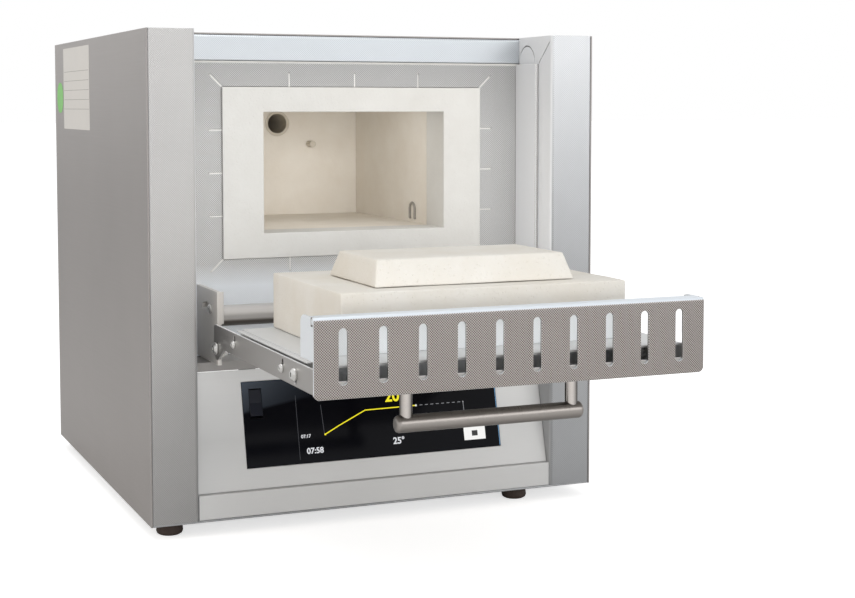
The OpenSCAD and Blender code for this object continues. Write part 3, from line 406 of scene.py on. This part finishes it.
def linen_steel(name, dips, pads, roughness=0.34, edge_glint=0.5, relief_depth=0.00005, metal=1.0, **faces):
    """Stainless sheet with a rolled linen relief, its dips and pads in two colours."""
    material, tree, shader = new_finish(name)
    relief = effect(tree, LINEN)["Relief"]
    tone = effect(tree, CLOUD, Scale=9.0)["Tone"]
    rim = effect(tree, EDGE, Radius=0.0009)
    sheet_color = clouded(tree, mix_color(tree, relief, dips, pads), tone, -0.35, 0.86)
    glint = calc(tree, "MULTIPLY", rim["Edge"], edge_glint)
    dressed_faces(tree, shader, sheet_color, glint, metal, **faces)
    tree.links.new(spread(tree, tone, roughness - 0.05, roughness + 0.05), shader.inputs["Roughness"])
    tree.links.new(bump(tree, relief, relief_depth, rim["Normal"]), shader.inputs["Normal"])
    return material


def brushed_steel(
    name, color, stretch, roughness=0.36, depth=0.00001, contrast=0.1, metal=1.0, edge_glint=0.45, **faces
):
    """Metal with fine parallel scratches. The stretch is the noise scale along each axis."""
    material, tree, shader = new_finish(name)
    grain = effect(tree, GRAIN, Stretch=stretch)["Grain"]
    tone = effect(tree, CLOUD, Scale=6.0)["Tone"]
    rim = effect(tree, EDGE, Radius=0.0008)
    scratched = mix_color(tree, grain, toned(color, 1 - contrast), toned(color, 1 + contrast))
    glint = calc(tree, "MULTIPLY", rim["Edge"], edge_glint)
    dressed_faces(tree, shader, clouded(tree, scratched, tone, -0.3, 0.88), glint, metal, **faces)
    tree.links.new(spread(tree, grain, roughness - 0.08, roughness + 0.08), shader.inputs["Roughness"])
    tree.links.new(bump(tree, grain, depth, rim["Normal"]), shader.inputs["Normal"])
    return material


def fibre_board(name, color, shade, scale=420.0, share=0.22, depth=0.00025):
    """Porous ceramic: brick, fibre or fired plate. Scale is pores per metre, share how far they open."""
    material, tree, shader = new_finish(name)
    pores = effect(tree, PORES, Scale=scale, Share=share)
    tone = effect(tree, CLOUD, Scale=26.0, Detail=5.0)["Tone"]
    rim = effect(tree, EDGE, Radius=0.0012)
    mottled = mix_color(tree, spread(tree, tone, -0.4, 1.3), shade, color)
    pitted = mix_color(tree, calc(tree, "MULTIPLY", pores["Pores"], 0.35), mottled, shade)
    worn = mix_color(tree, calc(tree, "MULTIPLY", rim["Edge"], 0.4), pitted, RUBBED_FIBRE)
    tree.links.new(worn, shader.inputs["Base Color"])
    tree.links.new(spread(tree, tone, 0.86, 0.98), shader.inputs["Roughness"])
    shader.inputs["Specular IOR Level"].default_value = 0.2
    tree.links.new(bump(tree, pores["Relief"], depth, rim["Normal"]), shader.inputs["Normal"])
    return material


def moulded_plastic(name, color, roughness, scale=2200.0, depth=0.00002):
    """Plastic or lacquer with a fine grain and slightly lighter edges."""
    material, tree, shader = new_finish(name)
    tone = effect(tree, CLOUD, Scale=scale, Detail=2.0)["Tone"]
    rim = effect(tree, EDGE, Radius=0.0005)
    worn = mix_color(tree, calc(tree, "MULTIPLY", rim["Edge"], 0.5), color, toned(color, 1.5, 0.02))
    tree.links.new(worn, shader.inputs["Base Color"])
    tree.links.new(spread(tree, tone, roughness - 0.06, roughness + 0.06), shader.inputs["Roughness"])
    tree.links.new(bump(tree, tone, depth, rim["Normal"]), shader.inputs["Normal"])
    return material


def backed_glass(name):
    """Black printed glass with a clear, hardly wavy front that is coated against reflections."""
    material, tree, shader = new_finish(name)
    tone = effect(tree, CLOUD, Scale=14.0)["Tone"]
    rim = effect(tree, EDGE, Radius=0.0007)
    black = mix_color(tree, tone, srgb(6, 6, 10), srgb(14, 15, 20))
    sheen = effect(tree, SHEEN)["Sheen"]
    tree.links.new(mix_color(tree, sheen, black, srgb(84, 91, 101)), shader.inputs["Base Color"])
    tree.links.new(spread(tree, tone, 0.06, 0.14), shader.inputs["Roughness"])
    tree.links.new(rim["Normal"], shader.inputs["Normal"])
    shader.inputs["Specular IOR Level"].default_value = 0.05
    return material


def lit_mark(name, color):
    """A lit or printed mark of the screen."""
    material, tree, shader = new_finish(name)
    tone = effect(tree, CLOUD, Scale=900.0)["Tone"]
    glow = mix_color(tree, tone, toned(color, 0.88), color)
    shader.inputs["Base Color"].default_value = (0.01, 0.01, 0.01, 1)
    tree.links.new(glow, shader.inputs["Emission Color"])
    shader.inputs["Emission Strength"].default_value = 1.0
    shader.inputs["Roughness"].default_value = 0.4
    return material


def printed_foil(name, color, roughness=0.45):
    """Matt foil of a label."""
    material, tree, shader = new_finish(name)
    tone = effect(tree, CLOUD, Scale=60.0)["Tone"]
    tree.links.new(mix_color(tree, tone, toned(color, 0.92), color), shader.inputs["Base Color"])
    tree.links.new(spread(tree, tone, roughness - 0.05, roughness + 0.05), shader.inputs["Roughness"])
    tree.links.new(bump(tree, tone, 0.00002), shader.inputs["Normal"])
    return material


def foot_rubber():
    """Dark rubber with some dust."""
    material, tree, shader = new_finish("foot_rubber")
    tone = effect(tree, CLOUD, Scale=800.0)["Tone"]
    dust = effect(tree, CLOUD, Scale=60.0)["Tone"]
    base = mix_color(tree, tone, srgb(38, 30, 26), srgb(62, 50, 44))
    dusty = mix_color(tree, spread(tree, dust, -0.3, 0.4), base, srgb(110, 100, 92))
    tree.links.new(dusty, shader.inputs["Base Color"])
    tree.links.new(spread(tree, tone, 0.6, 0.85), shader.inputs["Roughness"])
    tree.links.new(bump(tree, tone, 0.00004), shader.inputs["Normal"])
    return material


def paint(material, *names):
    """Gives a finish to the CAD nodes of these names."""
    for name in names:
        for place in nodes[name].material_slots:
            place.material = material


# Own looks of the faces in the recess and on top of the pillars: colour, metalness, fade. The faces in the
# recess are painted light, with painted shade lower down; the tops of the pillars are darker.
PAINTED_RECESS_LIGHT = (srgb(236, 238, 241), 0.3, (0.5, 1.14, 0.88, 0.1, 0.22, 0.385))
CAP = (srgb(176, 172, 170), 1.0, None)
# Left pillar: painted shade lower down and painted light towards the top
pillar_linen = linen_steel(
    "pillar_linen", srgb(196, 195, 194), srgb(218, 217, 216), 0.55, relief_depth=0.00008,
    fade=(0.75, 1.06, 1.1, 0.02, 0.2, 0.385), Side=PAINTED_RECESS_LIGHT, Top=CAP,
)
# Right pillar: a lit copy, with painted shade lower down and a painted highlight at the top
lit_pillar_linen = linen_steel(
    "lit_pillar_linen", srgb(197, 198, 200), srgb(217, 219, 221), 0.55, edge_glint=0.25, relief_depth=0.00008,
    fade=(0.7, 0.87, 1.45, 0.02, 0.2, 0.385), Side=PAINTED_RECESS_LIGHT, Top=CAP,
)
# Cheek liners: strong painted highlights along their edges
liner_linen = linen_steel(
    "liner_linen", srgb(196, 195, 194), srgb(218, 217, 216), 0.5, edge_glint=1.0, Side=PAINTED_RECESS_LIGHT
)
# Front sheet: painted shade towards its top and a painted highlight along its foot
sheet_linen = linen_steel(
    "sheet_linen", srgb(182, 181, 180), srgb(238, 238, 237), 0.55, relief_depth=0.00008, metal=0.85,
    fade=(1.08, 1.0, 0.72, 0.15, 0.31, 0.385), foot=(srgb(246, 250, 254), 0.187, 0.205),
)
# Slotted panel: painted highlights on its side returns and top bend, painted shade on its underside
panel_linen = linen_steel(
    "panel_linen", srgb(92, 84, 79), srgb(206, 200, 196), 0.36, relief_depth=0.0001, beyond=0.13,
    Side=(srgb(230, 236, 242), 0.3, None), Top=(srgb(216, 223, 230), 0.5, None),
    Under=(srgb(74, 70, 67), 1.0, None),
)
rail_linen = linen_steel("rail_linen", srgb(206, 211, 215), srgb(228, 233, 238), 0.4)
side_brushed = brushed_steel("side_brushed", srgb(172, 167, 164), (40, 14, 2600), 0.42, contrast=0.05)
# Control panel: painted light that grows towards its top
panel_satin = brushed_steel(
    "panel_satin", srgb(210, 210, 209), (14, 900, 2600), 0.55, contrast=0.03, metal=0.3, edge_glint=0.05,
    fade=(0.97, 1.0, 1.45, 0.03, 0.07, 0.115),
)
sill_satin = brushed_steel(
    "sill_satin", srgb(176, 173, 170), (14, 900, 2600), 0.6, contrast=0.03, metal=0.5
)
# Door tray: painted highlight on its upward faces
tray_satin = brushed_steel(
    "tray_satin", srgb(186, 183, 180), (600, 14, 2600), 0.36, contrast=0.06,
    Top=(srgb(246, 247, 249), 0.3, None),
)
bracket_satin = brushed_steel(
    "bracket_satin", srgb(222, 218, 213), (900, 1400, 60), 0.4, contrast=0.1, metal=0.3
)
# Sill moulding and hinge lugs: painted shade on their undersides
moulding_satin = brushed_steel(
    "moulding_satin", srgb(206, 202, 198), (10, 900, 2400), 0.42, contrast=0.1, metal=0.5,
    Under=(srgb(120, 115, 110), 1.0, None),
)
# Brick stop: linen steel made near white and hardly metallic, a painted-light copy that reads bright in shade
stop_linen = linen_steel("stop_linen", srgb(240, 246, 250), srgb(252, 254, 255), 0.5, metal=0.1)
carrier_satin = brushed_steel(
    "carrier_satin", srgb(220, 221, 221), (500, 12, 2400), 0.55, contrast=0.04, metal=0.6
)
# Handle bar and posts: painted shade on their rims, where they turn away from the eye
bar_brushed = brushed_steel(
    "bar_brushed", srgb(178, 172, 167), (3000, 60, 60), 0.3, contrast=0.12, dark_rim=0.7
)
post_turned = brushed_steel(
    "post_turned", srgb(226, 220, 215), (300, 300, 2600), 0.2, contrast=0.08, dark_rim=1.9
)
bright_turned = brushed_steel("bright_turned", srgb(218, 217, 214), (2600, 300, 300), 0.2, contrast=0.06)
inner_zinc = brushed_steel("inner_zinc", srgb(184, 186, 188), (500, 500, 500), 0.4, contrast=0.12)
wire_dark = brushed_steel("wire_dark", srgb(104, 96, 90), (900, 900, 900), 0.55, contrast=0.2)
staple_wire = brushed_steel(
    "staple_wire", srgb(176, 172, 166), (900, 900, 900), 0.5, contrast=0.1, metal=0.6
)
terminal_brass = brushed_steel("terminal_brass", srgb(206, 170, 96), (1200, 300, 300), 0.3)
collar_fibre = fibre_board("collar_fibre", srgb(228, 227, 223), srgb(218, 216, 211))
slit_white = fibre_board("slit_white", srgb(250, 249, 246), srgb(243, 241, 237))
light_brick = fibre_board("light_brick", srgb(228, 226, 221), srgb(218, 213, 203), 380.0, 0.26, 0.0003)
plate_fired = fibre_board("plate_fired", srgb(243, 238, 229), srgb(232, 224, 212), 300.0, 0.2, 0.0002)
tube_ceramic = fibre_board("tube_ceramic", srgb(226, 220, 208), srgb(200, 190, 174), 900.0, 0.15, 0.00008)
block_ceramic = fibre_board("block_ceramic", srgb(232, 230, 224), srgb(214, 208, 198), 1200.0, 0.12, 0.00005)
black_moulded = moulded_plastic("black_moulded", srgb(26, 26, 29), 0.42)
rocker_moulded = moulded_plastic("rocker_moulded", srgb(14, 18, 30), 0.35)
board_lacquer = moulded_plastic("board_lacquer", srgb(36, 96, 62), 0.35, 900.0)
display_black = backed_glass("display_black")
rubber = foot_rubber()

paint(pillar_linen, "left_pillar")
paint(liner_linen, "cheek_liners")
paint(lit_pillar_linen, "right_pillar")
paint(sheet_linen, "front_sheet")
paint(panel_linen, "slotted_panel")
paint(rail_linen, "front_rail")
paint(side_brushed, "left_side_panel", "right_side_panel", "top_cover")
paint(panel_satin, "control_panel", "base_strip")
paint(sill_satin, "sill")
paint(tray_satin, "door_tray")
paint(bracket_satin, "hinge_brackets")
paint(moulding_satin, "sill_moulding", "hinge_lugs")
paint(carrier_satin, "brick_carrier")
paint(bar_brushed, "handle_bar")
paint(post_turned, "handle_posts")
paint(bright_turned, "handle_screws", "carrier_screws", "clamp_screws", "hinge_pins")
paint(bright_turned, "bracket_screws", "rear_screws", "heat_sink", "exhaust_flange")
paint(inner_zinc, "base_plate", "insulation_shelf", "rear_panel")
paint(wire_dark, "heating_wires")
paint(staple_wire, "plate_staples")
paint(terminal_brass, "wire_terminals")
paint(collar_fibre, "front_collar", "front_board", "bottom_insulation", "top_insulation")
paint(collar_fibre, "left_insulation", "right_insulation")
paint(light_brick, "door_brick", "door_plug")
paint(plate_fired, "left_heating_plate", "right_heating_plate", "chamber_floor", "rear_insulation")
paint(tube_ceramic, "exhaust_tube", "thermocouple")
paint(block_ceramic, "terminal_block")
paint(black_moulded, "screen_module", "rocker_housing", "power_inlet", "solid_state_relay", "door_contact")
paint(rocker_moulded, "mains_rocker")
paint(board_lacquer, "controller_board")
paint(display_black, "display_glass")
paint(rubber, "feet")


# New pieces


def started(name):
    """Names the object that was just added, and its data."""
    piece = bpy.context.object
    piece.name = name
    piece.data.name = name
    return piece


def apply_modifier(piece, kind, **values):
    """Adds a modifier to the active piece and applies it."""
    modifier = piece.modifiers.new(kind.lower(), kind)
    for label, value in values.items():
        setattr(modifier, label, value)
    bpy.ops.object.modifier_apply(modifier=modifier.name)


def finished(piece, material, body):
    """Gives a piece its finish, and joins it to a body with a material slot."""
    bpy.ops.object.transform_apply(location=True, rotation=True, scale=True)
    piece.data.materials.clear()
    piece.data.materials.append(material)
    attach(piece, body)
    bpy.ops.object.select_all(action="DESELECT")


def select_faces(piece, wanted):
    """In edit mode, selects the faces for which wanted(face) holds."""
    mesh = bmesh.from_edit_mesh(piece.data)
    for face in mesh.faces:
        face.select_set(bool(wanted(face)))
    mesh.select_flush_mode()
    bmesh.update_edit_mesh(piece.data)


def block_between(name, low, high):
    """A cuboid over the box from low to high, its size in its mesh."""
    bpy.ops.mesh.primitive_cube_add(size=1, location=(Vector(low) + Vector(high)) / 2)
    piece = started(name)
    piece.scale = Vector(high) - Vector(low)
    bpy.ops.object.transform_apply(location=True, rotation=False, scale=True)
    return piece


def crumbled(piece, cut, strength, lump):
    """Softens a brick's edges by a cut, and roughens its faces inward with lumps of one size."""
    apply_modifier(piece, "BEVEL", width=cut, segments=3, limit_method="ANGLE")
    bpy.ops.object.mode_set(mode="EDIT")
    bpy.ops.mesh.select_all(action="SELECT")
    bpy.ops.mesh.subdivide(number_cuts=5)
    bpy.ops.mesh.quads_convert_to_tris()
    bpy.ops.object.mode_set(mode="OBJECT")
    clouds = bpy.data.textures.new(piece.name + "_relief", "CLOUDS")
    clouds.noise_scale = lump
    apply_modifier(piece, "DISPLACE", texture=clouds, strength=strength, mid_level=1.0)
    bpy.ops.object.shade_smooth_by_angle(angle=math.radians(40))


def build_door_brick():
    """The slab of brick on the carrier, with softened edges."""
    low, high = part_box("door_brick")
    piece = block_between("brick_slab", low, high)
    crumbled(piece, 0.0014, 0.0006, 0.011)
    finished(piece, light_brick, "door")
    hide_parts("door_brick")


def build_brick_plug():
    """The tapered step of the brick that closes the chamber's mouth."""
    low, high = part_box("door_plug")
    taper_side, taper_end = 0.005, 0.009
    piece = block_between("brick_step", low, high)
    bpy.ops.object.mode_set(mode="EDIT")
    select_faces(piece, lambda face: face.normal.z > 0.5)
    across = 1 - 2 * taper_side / (high.x - low.x)
    deep = 1 - 2 * taper_end / (high.y - low.y)
    middle = (low + high) / 2
    bpy.ops.transform.resize(value=(across, deep, 1), center_override=(middle.x, middle.y, high.z))
    bpy.ops.object.mode_set(mode="OBJECT")
    crumbled(piece, 0.0016, 0.0005, 0.013)
    finished(piece, light_brick, "door")
    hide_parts("door_plug")


def build_brick_stop():
    """Folded sheet on the carrier that stands before the brick: a bar grown up into its wall and forward
    into its foot."""
    low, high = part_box("door_brick")
    half, thick, wall, foot, gap = 0.112, 0.0012, 0.0258, 0.008, 0.0004
    middle, back = (low.x + high.x) / 2, low.y - gap
    piece = block_between(
        "brick_stop", (middle - half, back - thick, low.z), (middle + half, back, low.z + thick)
    )
    bpy.ops.object.mode_set(mode="EDIT")
    select_faces(piece, lambda face: face.normal.z > 0.5)
    bpy.ops.mesh.extrude_region_move(TRANSFORM_OT_translate={"value": (0, 0, wall)})
    select_faces(piece, lambda face: face.normal.y < -0.5 and face.calc_center_median().z < low.z + thick)
    bpy.ops.mesh.extrude_region_move(TRANSFORM_OT_translate={"value": (0, -foot, 0)})
    bpy.ops.object.mode_set(mode="OBJECT")
    apply_modifier(piece, "BEVEL", width=0.0003, segments=2, limit_method="ANGLE")
    finished(piece, stop_linen, "door")


def build_carrier_ledges():
    """Narrow ledges turned outward from the carrier's two sides, clear of the hinge brackets when closed."""
    low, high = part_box("brick_carrier")
    wide, thick, drop, overlap, front, rear = 0.0038, 0.001, 0.0012, 0.0002, 0.028, 0.003
    for side, edge in ((-1, low.x), (1, high.x)):
        inner, outer = edge - side * overlap, edge + side * wide
        piece = block_between(
            f"carrier_ledge_{'left' if side < 0 else 'right'}",
            (min(inner, outer), low.y + front, high.z - drop - thick),
            (max(inner, outer), high.y - rear, high.z - drop),
        )
        apply_modifier(piece, "BEVEL", width=0.0002, segments=2, limit_method="ANGLE")
        finished(piece, carrier_satin, "door")


# The sloping glass: how far it leans back, the foot of its slope, how far its face stands out of the slope,
# the ways up it and out of it, and the turn that lays a flat piece on it
glass_low, glass_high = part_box("display_glass")
SLOPE = math.radians(13.919)
SLOPE_FOOT = Vector((0, -0.0685, 0.0317))
GLASS_FACE = 0.0006
GLASS_UP = Vector((0, math.sin(SLOPE), math.cos(SLOPE)))
GLASS_OUT = Vector((0, -math.cos(SLOPE), math.sin(SLOPE)))
GLASS_TURN = Matrix.Rotation(math.radians(90) - SLOPE, 4, "X")
# Share of its height that a drawn line keeps, and of the letter size that a digit is high
LINE_KEEPS = 0.14
DIGIT_SHARE = 0.7


def on_glass(across, up, out=0.0):
    """Point of the glass from millimetres across from its middle, up the slope and out of its face."""
    flat = SLOPE_FOOT + Vector((across / 1000, 0, 0)) + GLASS_UP * up / 1000
    return flat + GLASS_OUT * (GLASS_FACE + out / 1000)


def glass_plate(name, corner_low, corner_high, material, out, thick, cut):
    """A thin raised mark with cut corners, between two corners on the glass, all in millimetres."""
    middle = [(a + b) / 2 for a, b in zip(corner_low, corner_high)]
    bpy.ops.mesh.primitive_plane_add(size=1)
    piece = started(name)
    wide, tall = [(b - a) / 1000 for a, b in zip(corner_low, corner_high)]
    piece.data.transform(Matrix.Diagonal((wide, tall, 1, 1)))
    bpy.ops.object.mode_set(mode="EDIT")
    bpy.ops.mesh.select_all(action="SELECT")
    bpy.ops.mesh.bevel(offset=min(cut / 1000, wide / 2.5, tall / 2.5), segments=3, affect="VERTICES")
    bpy.ops.mesh.extrude_region_move(TRANSFORM_OT_translate={"value": (0, 0, thick / 1000)})
    bpy.ops.mesh.select_all(action="SELECT")
    bpy.ops.mesh.normals_make_consistent(inside=False)
    bpy.ops.object.mode_set(mode="OBJECT")
    piece.data.transform(Matrix.Translation(on_glass(*middle, out)) @ GLASS_TURN)
    finished(piece, material, "casing")


def glass_line(name, points, width, material):
    """A line drawn on the glass through points in millimetres, as one flat strip."""
    out = 0.05
    bpy.ops.curve.primitive_bezier_curve_add()
    curve = bpy.context.object
    curve.name = name
    curve.data.splines.clear()
    spline = curve.data.splines.new("POLY")
    spline.points.add(len(points) - 1)
    for place, (across, up) in zip(spline.points, points):
        place.co = (*on_glass(across, up, out), 1)
    curve.data.bevel_depth = width / 2000
    curve.data.bevel_resolution = 2
    curve.data.use_fill_caps = True
    bpy.ops.object.convert(target="MESH")
    piece = started(name)
    base = on_glass(*points[0], out)
    pressed = Matrix.Scale(LINE_KEEPS, 4, GLASS_OUT)
    piece.data.transform(Matrix.Translation(base) @ pressed @ Matrix.Translation(-base))
    finished(piece, material, "casing")


def glass_digits(name, digits, across, up, height, material):
    """Plain digits on the glass, their lower left corner at millimetres across and up."""
    out, thick, swelling = 0.03, 0.00003, 0.035
    bpy.ops.object.text_add()
    text = bpy.context.object
    text.name = name
    text.data.body = digits
    text.data.size = height / 1000 / DIGIT_SHARE
    text.data.extrude = thick
    text.data.offset = height / 1000 * swelling
    bpy.ops.object.convert(target="MESH")
    piece = started(name)
    piece.data.transform(Matrix.Translation(on_glass(across, up, out)) @ GLASS_TURN)
    finished(piece, material, "casing")


trace_yellow = lit_mark("trace_yellow", srgb(250, 236, 20))
trace_grey = lit_mark("trace_grey", srgb(150, 152, 156))
faint_grey = lit_mark("faint_grey", srgb(62, 64, 70))
rim_blue = lit_mark("rim_blue", srgb(120, 178, 226))
digit_white = lit_mark("digit_white", srgb(222, 224, 228))
key_white = lit_mark("key_white", srgb(246, 246, 244))
key_black = lit_mark("key_black", srgb(14, 14, 16))


def build_screen_marks():
    """The curve, digits and key of the screen, in millimetres on the glass."""
    glass_line("trace_done", [(-44.0, 38.1), (-31.5, 44.3), (-8.1, 54.9), (36.9, 55.5)], 0.9, trace_yellow)
    dash_start, dash_step, dash_long = 40.2, 4.9, 2.6
    for count in range(8):
        start = dash_start + count * dash_step
        glass_line(f"trace_ahead_{count}", [(start, 55.55), (start + dash_long, 55.6)], 0.45, trace_grey)
    glass_line("trace_drop", [(79.6, 55.6), (79.8, 46.5)], 0.4, trace_grey)
    glass_line("trace_rise", [(-46.0, 62.0), (-44.6, 38.1)], 0.4, faint_grey)
    for name, across, up, size, material in [
        ("trace_start", -44.0, 38.1, 1.5, trace_yellow),
        ("trace_now", 36.9, 55.5, 1.7, digit_white),
        ("trace_end", 79.6, 55.6, 1.1, trace_grey),
    ]:
        half = size / 2
        corners = (across - half, up - half), (across + half, up + half)
        glass_plate(name, *corners, material, 0.06, 0.1, half * 0.9)
    glass_digits("clock_digits", "07:58", -60.6, 23.8, 4.5, digit_white)
    glass_digits("start_digits", "07:17", -64.5, 36.6, 2.6, digit_white)
    glass_digits("degree_digits", "25°", 14.0, 25.6, 5.2, digit_white)
    glass_digits("target_digits", "200", 10.0, 60.5, 9.0, trace_yellow)
    glass_plate("stop_key", (77.8, 23.4), (97.3, 34.4), key_white, 0.02, 0.06, 0.4)
    glass_plate("stop_square", (85.0, 26.6), (90.2, 31.0), key_black, 0.09, 0.06, 0.1)
    end_gap, edge_gap, wide = 1.2, 0.4, 0.4
    edge = glass_high.x * 1000 - edge_gap
    foot = (glass_low.z - SLOPE_FOOT.z) * 1000 / math.cos(SLOPE) + end_gap
    head = (glass_high.z - SLOPE_FOOT.z) * 1000 / math.cos(SLOPE) - end_gap
    glass_plate("glass_glint", (edge - wide, foot), (edge, head), rim_blue, 0.01, 0.03, 0.05)
    glass_plate("screen_seam", (-66.85, 19.5), (-66.55, 71.0), faint_grey, 0.01, 0.03, 0.05)


def build_slit_fibre():
    """Fibre that shows in the expansion slits of the front sheet, a hair behind its face."""
    low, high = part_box("front_collar")
    middle, half = (low + high) / 2, (high - low) / 2
    sunk, reach, wide, deep = 0.0003, 0.0112, 0.0013, 0.0015
    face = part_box("front_sheet")[0].y + sunk
    corner_shift, corner_reach = 0.0048, 0.014

    def strip(name, across, up, length, turn):
        piece = block_between(name, (-length / 2, 0, -wide / 2), (length / 2, deep, wide / 2))
        apply_modifier(piece, "BEVEL", width=0.0002, segments=2)
        place = Matrix.Translation((middle.x + across, face, middle.z + up))
        piece.data.transform(place @ Matrix.Rotation(math.radians(turn), 4, "Y"))
        finished(piece, slit_white, "casing")

    for step in (-1, 0, 1):
        for side in (-1, 1):
            strip(f"slit_level_{step}_{side}", step * half.x / 2, side * (half.z + reach / 2), reach, 90)
            strip(f"slit_upright_{step}_{side}", side * (half.x + reach / 2), step * half.z / 2, reach, 0)
    for side in (-1, 1):
        for end in (-1, 1):
            across, up = side * (half.x + corner_shift), end * (half.z + corner_shift)
            strip(f"slit_corner_{side}_{end}", across, up, corner_reach, -45 * side * end)


def build_labels():
    """Bare foil labels on the left side panel: a white one with ruled rows, and a green dot."""
    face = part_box("left_side_panel")[0].x
    thick, first_rule, rule_step, rule_wide = 0.00006, 0.33, 0.0086, 0.0004
    white = printed_foil("label_white", srgb(214, 212, 208))
    rule = printed_foil("label_rule", srgb(150, 148, 144))
    green = printed_foil("label_green", srgb(96, 190, 60), 0.35)

    def foil(name, y0, y1, z0, z1, out, material, cut):
        """A sheet over y0 to y1 and z0 to z1, whose face stands out from the panel."""
        bpy.ops.mesh.primitive_plane_add(size=1, rotation=(math.radians(90), 0, math.radians(-90)))
        piece = started(name)
        bpy.ops.object.transform_apply(rotation=True)
        place = Matrix.Translation((face - out, (y0 + y1) / 2, (z0 + z1) / 2))
        piece.data.transform(place @ Matrix.Diagonal((1, y1 - y0, z1 - z0, 1)))
        bpy.ops.object.mode_set(mode="EDIT")
        bpy.ops.mesh.select_all(action="SELECT")
        bpy.ops.mesh.bevel(offset=cut, segments=4, affect="VERTICES")
        bpy.ops.mesh.extrude_region_move(TRANSFORM_OT_translate={"value": (thick, 0, 0)})
        bpy.ops.mesh.select_all(action="SELECT")
        bpy.ops.mesh.normals_make_consistent(inside=False)
        bpy.ops.object.mode_set(mode="OBJECT")
        finished(piece, material, "casing")

    foil("label_plain", 0.1415, 0.2635, 0.3117, 0.3864, 0.0001, white, 0.001)
    for count in range(5):
        z = first_rule + count * rule_step
        foil(f"label_rule_{count}", 0.1445, 0.2605, z, z + rule_wide, 0.00016, rule, 0.0001)
    foil("label_dot", 0.2665, 0.2975, 0.3264, 0.3552, 0.0001, green, 0.0135)


build_door_brick()
build_brick_plug()
build_brick_stop()
build_carrier_ledges()
build_screen_marks()
build_slit_fibre()
build_labels()


# Studio


def build_studio():
    """A pale floor and sky that the camera sees as white, which light the furnace less than that."""
    floor_size, floor_glow, sky_light = 60, 0.62, 0.6
    bpy.ops.mesh.primitive_plane_add(size=1)
    floor = started("floor")
    floor.data.transform(Matrix.Diagonal((floor_size, floor_size, 1, 1)))
    material = bpy.data.materials.new("floor_white")
    material.use_nodes = True
    tree = material.node_tree
    shader = tree.nodes["Principled BSDF"]
    shader.inputs["Base Color"].default_value = (0.8, 0.8, 0.8, 1)
    shader.inputs["Roughness"].default_value = 0.9
    shader.inputs["Specular IOR Level"].default_value = 0.1
    shader.inputs["Emission Color"].default_value = WHITE
    path = tree.nodes.new("ShaderNodeLightPath")
    glow = calc(tree, "MULTIPLY", path.outputs["Is Camera Ray"], floor_glow)
    tree.links.new(glow, shader.inputs["Emission Strength"])
    floor.data.materials.clear()
    floor.data.materials.append(material)
    bpy.ops.object.select_all(action="DESELECT")

    world = bpy.data.worlds.new("studio")
    bpy.context.scene.world = world
    world.use_nodes = True
    tree = world.node_tree
    sky = tree.nodes["Background"]
    sky.inputs["Color"].default_value = WHITE
    path = tree.nodes.new("ShaderNodeLightPath")
    seen = calc(tree, "MAXIMUM", path.outputs["Is Camera Ray"], path.outputs["Is Glossy Ray"])
    seen = calc(tree, "MAXIMUM", seen, path.outputs["Is Transmission Ray"])
    tree.links.new(spread(tree, seen, sky_light, 1.0), sky.inputs["Strength"])


def softbox(name, place, target, size, power, color=(1, 1, 1), glossy=True, beam=180):
    """An area lamp at a place, turned to a target, with its beam in degrees. Cameras don't see it."""
    bpy.ops.object.light_add(type="AREA", location=place)
    lamp = bpy.context.object
    lamp.name = name
    lamp.data.shape = "RECTANGLE"
    lamp.data.size, lamp.data.size_y = size
    lamp.data.energy = power
    lamp.data.color = color
    lamp.visible_glossy = glossy
    lamp.data.spread = math.radians(beam)
    lamp.visible_camera = False
    lamp.rotation_euler = (Vector(target) - Vector(place)).to_track_quat("-Z", "Y").to_euler()
    bpy.ops.object.select_all(action="DESELECT")


def build_camera():
    """The camera as it was fitted to edges of the photo: place, tilt down and turn aside, lens and shift."""
    tilt, turn = 3.842, -23.084
    bpy.ops.object.camera_add(location=(-0.46767, -1.26427, 0.33283))
    camera = bpy.context.object
    camera.name = "photo_camera"
    camera.rotation_euler = (math.radians(90 - tilt), 0, math.radians(turn))
    camera.data.sensor_width = 36
    camera.data.lens = 67.3
    camera.data.shift_y = -0.1
    camera.data.clip_end = 100
    bpy.context.scene.camera = camera


build_studio()
softbox("fill_softbox", (-0.2, -2.3, 0.42), (0, 0, 0.26), (1.6, 0.8), 21, glossy=False)
softbox("key_softbox", (1.1, -2.1, 1.0), (0, 0, 0.3), (1.6, 1.0), 5.5)
softbox(
    "side_softbox", (-2.4, -0.7, 0.7), (0, -0.1, 0.2), (1.2, 1.2), 12, color=(1, 0.86, 0.7), glossy=False
)
softbox("top_softbox", (-0.3, 0.1, 1.9), (0, 0, 0.2), (1.4, 1.4), 9)
# Small lamps for the light in the chamber and behind the slotted panel
softbox("chamber_lamp", (-0.02, 0.024, 0.323), (0.03, 0.13, 0.24), (0.1, 0.02), 0.038, glossy=False)
softbox(
    "slot_lamp", (0, -0.314, 0.1965), (0, -0.276, 0.1689), (0.225, 0.004), 0.0102, glossy=False, beam=76
)
build_camera()
bpy.context.scene.view_settings.view_transform = "Standard"
